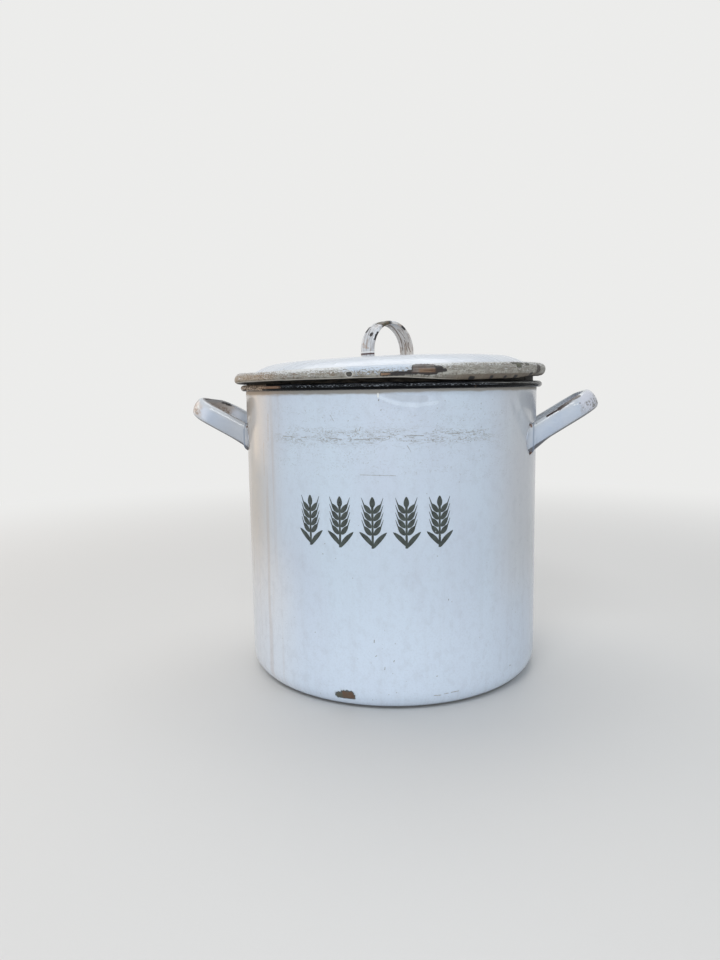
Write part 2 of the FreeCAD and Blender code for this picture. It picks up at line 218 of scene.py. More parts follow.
binSizes = {
    "radius": 146.5,        # middle of the sheet
    "sheet": 1.0,
    "panelUp": 3.5,
    "panelRadius": 109.0,
    "ringInner": 116.0,
    "ringOuter": 128.0,
    "cornerRadius": 18.5,
    "closerFrom": 250.0,    # from here up the rows lie closer
    "wireAcross": 149.0,
    "wireUp": 286.0,
    "curlRadius": 2.5,
    "curlEnd": -125,
    "steps": 360,
    "waves": 0.5,
    "waveSize": 62.0,
    "waveFoot": (6, 40),    # the waves come in between these heights
    "waveTop": (262, 282),  # and fade between these
    "edging": 282.7,        # lowest place that is edged in black
}

# knocks in the wall: angle, height, depth (a ridge has less than nothing), reach
binDents = [
    (9, 277.2, 0.8, 7), (13.5, 275.6, 1.2, 8), (18, 275.0, 1.2, 8), (22, 276.4, 0.7, 7),
    (3.5, 275.6, -0.5, 5), (6, 272.8, -0.9, 6), (9, 270.4, -1.2, 6), (12, 268.9, -1.3, 6),
    (15.5, 268.1, -1.3, 6), (19, 268.2, -1.2, 6), (22, 269.6, -0.9, 6), (24.5, 271.6, -0.5, 5),
    (54.5, 271.7, 0.7, 8), (57.4, 264, 0.9, 8), (60.3, 257, 0.7, 8),
    (-24, 262, 0.4, 16), (48, 250, 0.4, 20), (36, 92, 0.4, 30), (-52, 60, 0.5, 26),
    (118, 170, 1.0, 22), (171, 232, 0.8, 26), (-128, 96, 0.9, 24), (-160, 40, 0.6, 18),
]


def makeBin():
    s = binSizes
    foot = s["sheet"] / 2
    outline = [(0, s["panelUp"])]
    for across, up, count in ((s["panelRadius"], s["panelUp"], 9), (s["ringInner"], foot, 4),
                              (s["ringOuter"], foot, 3)):
        outline += runPoints(outline[-1], (across, up), count)
    outline += arcPoints((s["ringOuter"], foot + s["cornerRadius"]), s["cornerRadius"], -90, 0, 10)[1:]
    for up, count in ((s["closerFrom"], 30), (s["wireUp"], 22)):
        outline += runPoints(outline[-1], (s["radius"], up), count)
    outline += arcPoints((s["wireAcross"], s["wireUp"]), s["curlRadius"], 180, s["curlEnd"], 22)[1:]
    shell = lathe("binShell", outline, s["steps"])

    # each knock pushes the vertex nearest to its middle, and those round it
    startEdit(shell)
    bpy.ops.mesh.select_all(action="DESELECT")
    for angle, up, depth, reach in binDents:
        spot = wall(angle, up, s["radius"]) / 1000
        nearest = min(shell.data.vertices, key=lambda vertex: (vertex.co - spot).length).co.copy()
        pick(shell, lambda vertex: (vertex.co - nearest).length < 1e-6)
        bpy.ops.transform.translate(
            value=-wall(angle, 0, 1) * mm(depth), use_proportional_edit=True, use_proportional_connected=True,
            proportional_edit_falloff="SMOOTH", proportional_size=mm(reach))
    stopEdit()

    # the sheet is never quite round or flat
    def loose(place):
        return steady(place.z, *s["waveFoot"]) * (1 - steady(place.z, *s["waveTop"]))

    makeUneven(shell, "sheetWaves", s["waveSize"], s["waves"], weightGroup(shell, "looseSheet", loose))
    thicken(shell, s["sheet"])
    smooth(shell)
    return shell


# straps: a channel section carried along runs and bends

def strapSection(s):
    # (inwards, across) through the middle of the sheet, from one lip to the other
    inset = s["thickness"] / 2
    between = s["faceRadius"] - s["edge"]
    lean = math.asin((s["width"] / 2 - s["edge"]) / between)
    bend = (s["faceRadius"] - between * math.cos(lean), s["width"] / 2 - s["edge"])
    turn = 180 - math.degrees(lean)
    half = [(max(s["depth"], bend[0] + 0.4), s["width"] / 2 - inset)]
    half += arcPoints(bend, s["edge"] - inset, 90, turn, 6)
    half += arcPoints((s["faceRadius"], 0), s["faceRadius"] - inset, turn, 180, 3)[1:]
    mirrored = [(inwards, -across) for inwards, across in reversed(half[:-1])]
    return half + mirrored


def bendStrap(name, section, moves):
    # starts at the origin heading +X, the lips towards +Y, and bends to the left
    piece = walkLine(name, [(0, inwards, across) for inwards, across in section])
    bpy.ops.mesh.select_all(action="SELECT")
    place, heading = Vector((0, 0, 0)), 0.0
    for kind, *amounts in moves:
        ahead = Vector((math.cos(heading), math.sin(heading), 0))
        if kind == "run":
            length, count = amounts
            for _ in range(count):
                bpy.ops.mesh.extrude_region_move(
                    TRANSFORM_OT_translate={"value": mm(*(ahead * length / count))})
            place = place + ahead * length
        else:
            radius, angle, count = amounts
            centre = place + Vector((-ahead.y, ahead.x, 0)) * radius
            bpy.ops.mesh.spin(      # spin turns clockwise
                steps=count, angle=-math.radians(angle), center=mm(*centre), axis=(0, 0, 1))
            place = centre + Matrix.Rotation(math.radians(angle), 3, "Z") @ (place - centre)
            heading += math.radians(angle)
    stopEdit()
    closeNormals(piece)
    return piece


gripSizes = {
    "wallRadius": 147.0,
    "tilt": 32.0,
    "reach": 72.0,
    "halfSpan": 51.0,
    "bend": 27.0,
    "width": 20.0,
    "depth": 6.0,
    "edge": 5.2,
    "thickness": 1.4,
    "faceRadius": 20.0,
    "legRows": 19,
    "start": 12.0,          # how far the strap starts inside the wall, before it is trimmed
    "flare": 0.3,
    "flareReach": (-6.0, 18.0),
    "trim": 0.5,            # the ends stop this far inside the wall's face
    "footUp": 29.0,
    "footDrop": 1.5,
    "footWide": 11.0,
    "footOff": 5.0,         # the crease, measured out from the wall
    "footInto": 0.3,        # how far its inner edge goes under the leg
    "footGap": 0.25,
    "footSheet": 1.0,
}

# each loop has been knocked, one leg up and the other down, and droops a little
rightAskew = {"roll": -2.5, "rootUp": 233.8, "reach": 73.5}
leftAskew = {"roll": 3.4, "rootUp": 235.5, "tilt": 28.2, "reach": 71.6, "flare": 0.12, "footUp": 24.5}


def makeGrip(name, turn, askew):
    s = {**gripSizes, **askew}
    leg = s["reach"] - s["bend"] + s["start"]
    span = 2 * (s["halfSpan"] - s["bend"])
    legRun, bend = ("run", leg, s["legRows"]), ("bend", s["bend"], 90, 14)
    grip = bendStrap(name, strapSection(s), [legRun, bend, ("run", span, 12), bend, legRun])

    # the lower edge flares towards the wall
    settle(grip, move=(-s["start"], -s["halfSpan"], 0))
    startEdit(grip)
    spacing = leg / s["legRows"]
    for row in range(s["legRows"] + 1):
        along = row * spacing - s["start"]
        share = s["flare"] * (1 - steady(along, *s["flareReach"]))
        if share > 0.002:
            pick(grip, lambda vertex: abs(vertex.co.x * 1000 - along) < spacing / 4 and vertex.co.z < 0)
            bpy.ops.transform.resize(value=(1, 1, 1 + share), center_override=(mm(along), 0, 0))
    stopEdit()
    thicken(grip, s["thickness"])
    roundEdges(grip, 0.35)

    wallAt = math.sqrt(s["wallRadius"] ** 2 - s["halfSpan"] ** 2)
    settle(grip, turn=(0, -s["tilt"], 0))
    settle(grip, turn=(s["roll"], 0, 0), move=(wallAt, 0, s["rootUp"]))

    # ends cut to the round wall
    deselectAll()
    bpy.ops.mesh.primitive_cylinder_add(
        vertices=360, radius=mm(s["wallRadius"] - s["trim"]), depth=mm(160), location=mm(0, 0, s["rootUp"]))
    cutter = bpy.context.active_object
    addModifier(grip, "BOOLEAN", operation="DIFFERENCE", object=cutter, solver="EXACT")
    bpy.data.objects.remove(cutter)

    lift = s["halfSpan"] * math.sin(math.radians(s["roll"]))
    joinTo(grip, [makeFoot(name + "Foot", s, side, s["rootUp"] + side * lift) for side in (-1, 1)])
    smooth(grip, 42)
    settle(grip, turn=(0, 0, turn))
    return grip


def makeFoot(name, s, side, rootUp):
    # the sheet turned outwards from the leg's face and laid on the wall as a half-moon
    legAngle = math.asin(s["halfSpan"] / s["wallRadius"])
    sections = []
    rows, points = 14, 7
    tall = s["footUp"] / 2
    for row in range(rows + 1):
        up = -tall + 2 * tall * row / rows
        share = max(1 - (up / tall) ** 2, 0.002)
        wide, off = s["footWide"] * share, s["footOff"] * math.sqrt(share)
        section = []
        for point in range(points + 1):
            ease = math.radians(90 * point / points)
            away = wide * (1 - math.cos(ease)) - s["footInto"] * math.cos(ease)
            out = off * (1 - math.sin(ease)) + s["footGap"]
            angle = legAngle + away / s["wallRadius"]
            across, ahead, _ = wall(90 + math.degrees(angle), 0, s["wallRadius"] + out)
            section.append((across, side * ahead, rootUp - s["footDrop"] + up))
        sections.append(section)
    foot = loft(name, sections)
    thicken(foot, s["footSheet"])
    return foot


# the lid: dome, shoulder, gutter and a rolled edge; it sits a little askew

lidSizes = {
    "top": 315.0,
    "sheet": 1.0,
    "domeRadius": 1600.0,
    "shoulderRadius": 45.0,
    "gutterRadius": 2.5,
    "edgeRadius": 5.5,
    "edgeAcross": 151.2,
    "edgeUp": 296.3,
    "edgeJoin": 30.0,
    "edgeEnd": -165.0,
    "steps": 320,
    "rolled": (145, 149),   # the rolled edge begins between these, the dome ends before
    "dome": (132, 141),
    "squashed": 2.95,       # the roll is flattened from below towards the left end
    "evenAcross": 38.0,     # from here on
    "squashFade": (125, 150, 0.25),
    "opened": 3.9,          # it has sprung open right of the middle
    "openFrom": (20, 80),
    "openFade": (118, 147, 0.75),
    "bulged": 1.5,          # and stands up a little at its left end
    "bulgeFrom": (105, 140),
    "bumps": 0.55,
    "bumpSize": 13.0,
    "waves": 0.7,
    "waveSize": 48.0,
    "lean": 1.35,
    "leanUp": 290.0,
    "raised": 0.7,
    "slide": -1.3,
}


def lidOutline():
    s = lidSizes
    half = s["sheet"] / 2
    dome = Vector((0, s["top"] - s["domeRadius"]))
    edge = Vector((s["edgeAcross"], s["edgeUp"]))
    join = math.radians(s["edgeJoin"])
    between = s["edgeRadius"] + s["gutterRadius"]
    gutter = edge + Vector((-math.cos(join), math.sin(join))) * between
    fromDome = s["domeRadius"] - s["shoulderRadius"]
    fromGutter = s["gutterRadius"] + s["shoulderRadius"]
    apart = gutter - dome
    along = (fromDome ** 2 - fromGutter ** 2 + apart.length ** 2) / (2 * apart.length)
    aside = math.sqrt(fromDome ** 2 - along ** 2)
    unit = apart.normalized()
    shoulder = dome + unit * along + Vector((-unit.y, unit.x)) * aside

    def heading(start, end):
        return math.degrees(math.atan2(end.y - start.y, end.x - start.x))

    domeEnd = heading(dome, shoulder)
    flank = heading(shoulder, gutter)
    points = arcPoints(dome, s["domeRadius"] - half, 90, domeEnd, 26)
    points[0] = (0, points[0][1])
    points += arcPoints(shoulder, s["shoulderRadius"] - half, domeEnd, flank, 14)[1:]
    points += arcPoints(gutter, s["gutterRadius"] + half, flank + 180, 360 - s["edgeJoin"], 8)[1:]
    points += arcPoints(edge, s["edgeRadius"] - half, 180 - s["edgeJoin"], s["edgeEnd"], 30)[1:]
    return points


def leanLid(piece):
    s = lidSizes
    settle(piece, move=(0, 0, -s["leanUp"]))
    settle(piece, turn=(0, -s["lean"], 0), move=(s["slide"], 0, s["leanUp"] + s["raised"]))


def makeLid():
    s = lidSizes
    shell = lathe("lidShell", lidOutline(), s["steps"])

    def rolled(place):
        return steady(math.hypot(place.x, place.y), *s["rolled"])

    def domed(place):
        return 1 - steady(math.hypot(place.x, place.y), *s["dome"])

    def off(place, side):
        # how far over (side 1) or under (-1) the middle of the roll, as a share of its radius
        return min(max(side * (place.z - s["edgeUp"]) / s["edgeRadius"], 0), 1)

    def faded(value, low, high, share):
        return 1 - share * steady(value, low, high)

    def squashed(place):
        share = max((s["evenAcross"] - place.x) / (s["edgeAcross"] + s["evenAcross"]), 0)
        return off(place, -1) * share * faded(-place.x, *s["squashFade"])

    def opened(place):
        return off(place, -1) * steady(place.x, *s["openFrom"]) * faded(place.x, *s["openFade"])

    def bulged(place):
        return rolled(place) * off(place, 1) * steady(-place.x, *s["bulgeFrom"])

    edge = weightGroup(shell, "rolledEdge", rolled)
    dome = weightGroup(shell, "dome", domed)
    lifts = [(weightGroup(shell, "squashedLeft", squashed), s["squashed"]),
             (weightGroup(shell, "openedRight", opened), -s["opened"]),
             (weightGroup(shell, "bulgedLeft", bulged), s["bulged"])]
    for group, lift in lifts:
        addModifier(shell, "DISPLACE", direction="Z", strength=mm(lift), mid_level=0, vertex_group=group)
    makeUneven(shell, "edgeBumps", s["bumpSize"], s["bumps"], edge)
    makeUneven(shell, "domeWaves", s["waveSize"], s["waves"], dome)
    thicken(shell, s["sheet"])
    smooth(shell)
    leanLid(shell)
    return shell


collarSizes = {
    "radius": 144.2,
    "bottom": 273.0,
    "turnedIn": (0.5, 0.6),
    "top": 297.2,
    "sheet": 1.0,
}


def makeCollar():
    # a plain ring under the gutter, its lower edge turned in a little
    s = collarSizes
    inwards, up = s["turnedIn"]
    outline = [(s["radius"] - inwards, s["bottom"]), (s["radius"], s["bottom"] + up)]
    outline += runPoints(outline[-1], (s["radius"], s["top"]), 14)
    collar = lathe("lidCollar", outline, 240)
    thicken(collar, s["sheet"])
    smooth(collar)
    leanLid(collar)
    return collar


bowSizes = {
    "turn": 52.0,
    "rise": 36.6,
    "radius": 31.2,
    "splay": 3.0,
    "width": 18.0,
    "depth": 3.6,
    "edge": 2.6,
    "thickness": 1.4,
    "faceRadius": 60.0,
    "legs": 8.0,
    "foot": 11.0,
    "footSheet": 1.3,
    "footSunk": 0.35,       # the foot's underside, below the top of the dome
    "footPlay": 0.1,
}

# sections of a foot: share of its length, share of its width, height
bowFootSections = [(0, 1, 1.6), (0.06, 1, 0.7), (0.2, 1, 0.1), (0.7, 1, 0), (0.9, 0.9, 0), (1, 0.66, 0)]


def makeBow():
    s = bowSizes
    leg = ("run", s["legs"], 4)
    bow = bendStrap("lidHandle", strapSection(s), [leg, ("bend", s["radius"], 180 - 2 * s["splay"], 44), leg])
    thicken(bow, s["thickness"])
    roundEdges(bow, 0.3)

    # stood up over the middle of the lid
    lean = math.radians(s["splay"])
    centreUp = lidSizes["top"] + s["rise"] - s["radius"]
    across = s["radius"] * math.cos(lean) + s["legs"] * math.sin(lean)
    up = centreUp + s["radius"] * math.sin(lean) - s["legs"] * math.cos(lean)
    settle(bow, turn=(0, 0, 90 + s["splay"]))
    settle(bow, turn=(90, 0, 0), move=(across, 0, up))

    # each end turned in as a flat foot on the dome
    ground = lidSizes["top"] - s["footSunk"] + s["footSheet"] / 2
    half = s["width"] / 2 - s["thickness"] - s["footPlay"]
    for side in (1, -1):
        sections = []
        for share, narrow, lift in bowFootSections:
            place = side * (across - s["thickness"] - s["foot"] * share)
            sections.append([(place, -half * narrow, ground + lift), (place, half * narrow, ground + lift)])
        foot = loft("bowFoot", sections)
        thicken(foot, s["footSheet"])
        roundEdges(foot, 0.25, 30)
        joinTo(bow, [foot])
    smooth(bow, 42)
    settle(bow, turn=(0, 0, s["turn"]))
    leanLid(bow)
    return bow


# five ears of wheat, stencilled on the front

earSizes = {
    "count": 5,
    "pitch": 11.3,          # degrees from ear to ear
    "bottom": 147.8,
    "radius": 148.0,
    "proud": 0.14,
    "sheet": 0.16,
    "kernelRows": 4,
    "kernelUp": 11.5,       # the lowest pair
    "kernelPitch": 6.3,
}


def blade(name, length, width, shape, sweep=0.0, rows=8):
    # a grid whose rows are narrowed by shape and pushed aside along a sweep
    deselectAll()
    bpy.ops.mesh.primitive_grid_add(x_subdivisions=4, y_subdivisions=rows, size=1)
    piece = newPiece(name)
    piece.scale = (mm(width), mm(length), 1)
    piece.location = (0, mm(length / 2), 0)
    bpy.ops.object.transform_apply(location=True, scale=True)
    startEdit(piece)
    for row in range(rows + 1):
        share = row / rows
        up = mm(length) * share
        pick(piece, lambda vertex: abs(vertex.co.y - up) < 1e-6)
        bpy.ops.transform.resize(value=(max(shape(share), 0.02), 1, 1), center_override=(0, up, 0))
        if sweep:
            bpy.ops.transform.translate(value=(mm(sweep) * share ** 1.6, 0, 0))
    stopEdit()
    return piece


def makeEar():
    # drawn flat, x across and y up, the stem's foot at the origin
    s = earSizes

    def kernel(share):
        return math.sin(math.pi * min(max(0.04 + 0.92 * share ** 0.85, 0), 1)) ** 0.8

    def leaf(share):
        return math.sin(math.pi * (0.06 + 0.93 * share)) ** 0.7

    def stem(share):
        return 0.8 + 0.2 * abs(2 * share - 1)

    def awn(share):
        return 1 - 0.75 * share

    parts = []

    def put(name, length, width, shape, across, up, lean, **others):
        piece = blade(name, length, width, shape, **others)
        settle(piece, turn=(0, 0, -lean), move=(across, up, 0))
        parts.append(piece)

    put("earStem", 37.0, 2.2, stem, 0, 0, 0, rows=16)
    for side, leafLong, leafUp in ((-1, 15.0, 2.6), (1, 17.0, 0.6)):
        put("earLeaf", leafLong, 4.4, leaf, side * 0.8, leafUp, side * 24, sweep=side * 5.0, rows=12)
        for row in range(s["kernelRows"]):
            up = s["kernelUp"] + s["kernelPitch"] * row
            put("earKernel", 9.8, 4.4, kernel, side * 1.3, up, side * 38)
            put("earAwn", 6.6, 1.1, awn, side * 7.2, up + 7.4, side * 20, rows=4)
    put("earKernel", 9.6, 4.8, kernel, 0, 35.0, 0)
    joinTo(parts[0], parts[1:])
    return newPiece("wheatEar")


def layEars(shell):
    s = earSizes
    first = makeEar()
    ears = []
    for number in range(s["count"]):
        activate(first)
        bpy.ops.object.duplicate(linked=False)
        ear = newPiece("wheatEar" + str(number + 1))
        angle = (number - (s["count"] - 1) / 2) * s["pitch"]
        settle(ear, turn=(90, 0, 0), move=(0, -s["radius"], s["bottom"]))
        settle(ear, turn=(0, 0, angle))
        addModifier(ear, "SHRINKWRAP", target=shell, wrap_method="NEAREST_SURFACEPOINT",
                    wrap_mode="ABOVE_SURFACE", offset=mm(s["proud"]))
        editWhole(ear)
        bpy.ops.mesh.normals_make_consistent(inside=False)
        stopEdit()
        outwards = wall(angle, 0, 1)
        if sum(face.normal.dot(outwards) * face.area for face in ear.data.polygons) < 0:
            editWhole(ear)
            bpy.ops.mesh.flip_normals()
            stopEdit()
        thicken(ear, s["sheet"], offset=-1)
        smooth(ear, 60)
        ears.append(ear)
    bpy.data.objects.remove(first)
    return ears


# shader helpers

def colour(red, green, blue):
    # screen values from 0 to 255, turned into the shader's linear ones
    def linear(value):
        value /= 255
        return value / 12.92 if value <= 0.04045 else ((value + 0.055) / 1.055) ** 2.4
    return (linear(red), linear(green), linear(blue), 1)


class Field:
    # a shader value to reckon with: + - * / add math nodes, | takes the larger of two, & the smaller
    def __init__(self, socket):
        self.socket = socket

    def __add__(self, other):
        return calc("ADD", self, other)

    def __sub__(self, other):
        return calc("SUBTRACT", self, other)

    def __rsub__(self, other):
        return calc("SUBTRACT", other, self)

    def __mul__(self, other):
        return calc("MULTIPLY", self, other)

    def __truediv__(self, other):
        return calc("DIVIDE", self, other)

    def __or__(self, other):
        return calc("MAXIMUM", self, other)

    def __and__(self, other):
        return calc("MINIMUM", self, other)

    def __abs__(self):
        return calc("ABSOLUTE", self)


def feed(value, socket):
    if isinstance(value, Field):
        socket.id_data.links.new(value.socket, socket)
    else:
        socket.default_value = value


def treeOf(*values):
    # the node tree that the fields among the values are in
    return next(value.socket.id_data for value in values if isinstance(value, Field))


def addNode(kind, *values, **settings):
    # the values go to the node's first sockets
    node = treeOf(*values).nodes.new(kind)
    for name, value in settings.items():
        setattr(node, name, value)
    for value, socket in zip(values, node.inputs):
        feed(value, socket)
    return node


def calc(operation, *values, clamp=False):
    return Field(addNode("ShaderNodeMath", *values, operation=operation, use_clamp=clamp).outputs[0])


def vectorCalc(operation, *values):
    outputs = addNode("ShaderNodeVectorMath", *values, operation=operation).outputs
    return Field(outputs["Value" if operation in ("LENGTH", "DOT_PRODUCT") else "Vector"])


def splitVector(vector):
    return [Field(socket) for socket in addNode("ShaderNodeSeparateXYZ", vector).outputs]


def joinVector(across, ahead, up):
    return Field(addNode("ShaderNodeCombineXYZ", across, ahead, up).outputs[0])


def eased(value, low, high):
    # 0 at low, 1 at high; low may be the larger
    ends = (low, high, 0.0, 1.0) if low < high else (high, low, 1.0, 0.0)
    node = addNode("ShaderNodeMapRange", value, *ends, interpolation_type="SMOOTHSTEP")
    return Field(node.outputs["Result"])


def band(value, low, high, soft):
    # 1 between low and high
    return eased(value, low - soft, low + soft) * eased(value, high + soft, high - soft)


def mix(kind, first, result, amount, under, over):
    # the Mix node keeps a pair of sockets for every kind of value
    node = treeOf(amount, under, over).nodes.new("ShaderNodeMix")
    node.data_type = kind
    for value, number in ((amount, 0), (under, first), (over, first + 1)):
        feed(value, node.inputs[number])
    return Field(node.outputs[result])


def mixValue(amount, under, over):
    return mix("FLOAT", 2, 0, amount, under, over)


def mixColour(amount, under, over):
    return mix("RGBA", 6, 2, amount, under, over)


def coat(under, amount, *over):
    # lays a colour over another: three screen values, or a colour as it is
    return mixColour(amount, under, colour(*over) if len(over) == 3 else over[0])


def noise(place, scale, detail=3.0, roughness=0.6, shift=(0, 0, 0)):
    # scale: one number, or one for each direction
    stretch, scale = (scale, 1.0) if isinstance(scale, tuple) else ((1, 1, 1), scale)
    shifted = Field(addNode("ShaderNodeMapping", place, shift, (0, 0, 0), stretch).outputs[0])
    node = addNode("ShaderNodeTexNoise", shifted)
    for title, value in (("Scale", scale), ("Detail", detail), ("Roughness", roughness)):
        feed(value, node.inputs[title])
    return Field(node.outputs["Fac"])


def socketKind(isVector):
    return "NodeSocketVector" if isVector else "NodeSocketFloat"


def openGroup(name, **inputs):
    # a node group with these inputs, which come back as fields
    group = bpy.data.node_groups.new(name, "ShaderNodeTree")
    for title, value in inputs.items():
        kind = socketKind(isinstance(value, tuple))
        group.interface.new_socket(title, in_out="INPUT", socket_type=kind).default_value = value
    sockets = group.nodes.new("NodeGroupInput").outputs
    return [Field(sockets[title]) for title in inputs]


def closeGroup(**results):
    group = treeOf(*results.values())
    for title, value in results.items():
        kind = socketKind(value.socket.type == "VECTOR")
        group.interface.new_socket(title, in_out="OUTPUT", socket_type=kind)
    sockets = group.nodes.new("NodeGroupOutput").inputs
    for title, value in results.items():
        feed(value, sockets[title])
    return group


def useGroup(group, **values):
    # one output comes back as a field, more of them by name
    node = treeOf(*values.values()).nodes.new("ShaderNodeGroup")
    node.node_tree = group
    for title, value in values.items():
        feed(value, node.inputs[title])
    results = {socket.name: Field(socket) for socket in node.outputs}
    return results if len(results) > 1 else results[node.outputs[0].name]


zero = (0, 0, 0)
binMiddle = mm(0, 0, 150)
wallOut = mm(binSizes["radius"] + binSizes["sheet"] / 2)


def makeRoundPlace():
    # a place round the bin's axis: wrapped is arc from the front, height; ring has no seam at the back
    place, normal = openGroup("roundPlace", place=zero, normal=zero)
    across, ahead, height = splitVector(place)
    arc = calc("ARCTAN2", across, ahead * -1.0) * wallOut
    flat = vectorCalc("MULTIPLY", place, (1, 1, 0))
    radius = vectorCalc("LENGTH", flat)
    unit = vectorCalc("MULTIPLY", vectorCalc("NORMALIZE", flat), (wallOut, wallOut, 0))
    ring = vectorCalc("ADD", unit, joinVector(0.0, 0.0, height - radius))
    fromMiddle = vectorCalc("NORMALIZE", vectorCalc("SUBTRACT", place, binMiddle))
    facing = vectorCalc("DOT_PRODUCT", normal, fromMiddle)
    return closeGroup(wrapped=joinVector(arc, height, 0.0), ring=ring, arc=arc, height=height, radius=radius,
                      outside=eased(facing, -0.06, 0.06), upness=splitVector(normal)[2])


def makeChip():
    # how far a place is outside a round-cornered spot, whose border grain pushes in and out
    wrapped, centre, halfSize, ragged, grain = openGroup(
        "enamelChip", wrapped=zero, centre=zero, halfSize=(0.01, 0.01, 0), ragged=0.4, grain=0.0)
    wide, tall, _ = splitVector(halfSize)
    small = wide & tall
    corner = small * 0.8
    away = vectorCalc("ABSOLUTE", vectorCalc("SUBTRACT", wrapped, centre))
    core = vectorCalc("SUBTRACT", halfSize, joinVector(corner, corner, 0.0))
    beyond = vectorCalc("MULTIPLY", vectorCalc("SUBTRACT", away, core), (1, 1, 0))
    outer = vectorCalc("LENGTH", vectorCalc("MAXIMUM", beyond, zero))
    beyondAcross, beyondUp, _ = splitVector(beyond)
    inner = (beyondAcross | beyondUp) & 0.0
    return closeGroup(off=outer + inner - corner + grain * ragged * small * 2.4)


def makeScratch():
    # a thin line between two places, broken by grain
    place, start, end, wide, broken, grain = openGroup(
        "scratchLine", place=zero, start=zero, end=(0.01, 0, 0), wide=0.0004, broken=0.6, grain=0.0)
    along = vectorCalc("SUBTRACT", end, start)
    here = vectorCalc("SUBTRACT", place, start)
    reach = vectorCalc("DOT_PRODUCT", along, along)
    share = calc("DIVIDE", vectorCalc("DOT_PRODUCT", here, along), reach, clamp=True)
    nearest = vectorCalc("MULTIPLY", along, joinVector(share, share, share))
    off = vectorCalc("LENGTH", vectorCalc("SUBTRACT", here, nearest))
    return closeGroup(line=eased(off / wide + grain * broken * 3.0, 1.25, 0.65))


def makeHairLines():
    # thin wandering lines: the contours of a stretched noise
    place, stretch, levels, thin = openGroup(
        "hairLines", place=zero, stretch=(40, 40, 800), levels=6.0, thin=0.1)
    field = noise(vectorCalc("MULTIPLY", place, stretch), 1.0, 2.0, 0.5)
    return closeGroup(lines=eased(abs(calc("FRACT", field * levels) - 0.5) / thin, 1.0, 0.4))


def makePits():
    # scattered small spots of uneven size; share says how many of the cells hold one
    place, scale, size, share = openGroup("pits", place=zero, scale=200.0, size=0.2, share=0.3)
    cells = addNode("ShaderNodeTexVoronoi", place)
    feed(scale, cells.inputs["Scale"])
    parts = addNode("ShaderNodeSeparateColor", Field(cells.outputs["Color"])).outputs
    chance, unlike = Field(parts["Red"]), Field(parts["Green"])
    inSpot = size * (unlike + 0.35) - Field(cells.outputs["Distance"])
    return closeGroup(spots=eased(inSpot / size, 0.0, 0.25) * calc("LESS_THAN", chance, share))


def makeGloss():
    # slow ripple of the fired enamel and its fine orange peel, as a bump height
    place, ripple, peel = openGroup("enamelSurface", place=zero, ripple=1.0, peel=0.12)
    return closeGroup(height=noise(place, 38.0, 2.0, 0.5) * ripple + noise(place, 420.0, 2.0, 0.5) * peel)


def makeTarnish():
    # bared steel: rust from 0 to 1, and a fine grain
    place, scale = openGroup("tarnish", place=zero, scale=300.0)
    broad = addNode("ShaderNodeTexNoise", place)
    feed(scale, broad.inputs["Scale"])
    feed(4, broad.inputs["Detail"])
    rust = eased(Field(broad.outputs["Fac"]), 0.38, 0.66)
    return closeGroup(rust=rust, grain=noise(place, 1600.0, 3.0, 0.7))


roundPlace, enamelChip, pits = makeRoundPlace(), makeChip(), makePits()
scratchLine, hairLines, enamelSurface, tarnish = makeScratch(), makeHairLines(), makeGloss(), makeTarnish()
print("shader groups built")


def newMaterial(name):
    # the material and the places in the piece's own frame
    material = bpy.data.materials.new(name)
    material.use_nodes = True
    where = material.node_tree.nodes.new("ShaderNodeTexCoord").outputs
    return material, Field(where["Object"]), Field(where["Normal"])


def newRoundMaterial(name):
    # also with the places round the bin's axis, by name
    material, place, normal = newMaterial(name)
    return material, place, useGroup(roundPlace, place=place, normal=normal)


def dress(material, body, rough, relief, strength, distance, shine=0.5, metal=0.0):
    # what the shader gets; relief, strength and distance are the bump's
    nodes = material.node_tree.nodes
    bump = nodes.new("ShaderNodeBump")
    for value, title in ((strength, "Strength"), (distance, "Distance"), (relief, "Height")):
        feed(value, bump.inputs[title])
    shader = nodes["Principled BSDF"].inputs
    for value, title in ((body, "Base Color"), (rough, "Roughness"), (metal, "Metallic"),
                         (shine, "Specular IOR Level"), (Field(bump.outputs[0]), "Normal")):
        feed(value, shader[title])
    return material


def pitted(place, scale, size, share):
    return useGroup(pits, place=place, scale=scale, size=size, share=share)


def hairs(place, stretch, levels, thin):
    return useGroup(hairLines, place=place, stretch=stretch, levels=levels, thin=thin)


def surfaceHeight(place, ripple, peel):
    return useGroup(enamelSurface, place=place, ripple=ripple, peel=peel)


def bareMetal(place, scale):
    return useGroup(tarnish, place=place, scale=scale).values()


def chipMasks(wrapped, chips, fine=500.0, rim=0.6):
    # chips: arc, height, half width, half height in millimetres, raggedness
    # gives the bare middle, that with its rim, and both with a halo
    grain = noise(wrapped, fine, 3.0, 0.5) - 0.5
    off = 1.0
    for across, up, wide, tall, ragged in chips:
        chip = useGroup(enamelChip, wrapped=wrapped, centre=mm(across, up, 0), halfSize=mm(wide, tall, 0),
                        ragged=ragged, grain=grain)
        off = calc("MINIMUM", off, chip)
    past = off - mm(rim)
    return eased(off, 0.00018, -0.00018), eased(past, 0.00022, -0.00015), eased(past, 0.0016, 0.0003)


def scratches(place, lines):
    # lines: from and to in millimetres, two or three numbers each, then half width and how broken
    grain = noise(place, 420.0, 3.0, 0.65) - 0.5
    mask = 0.0
    for *ends, wide, broken in lines:
        half = len(ends) // 2
        start, end = ((*ends[:half], 0)[:3], (*ends[half:], 0)[:3])
        line = useGroup(scratchLine, place=place, start=mm(*start), end=mm(*end), wide=mm(wide),
                        broken=broken, grain=grain)
        mask = calc("MAXIMUM", mask, line)
    return mask


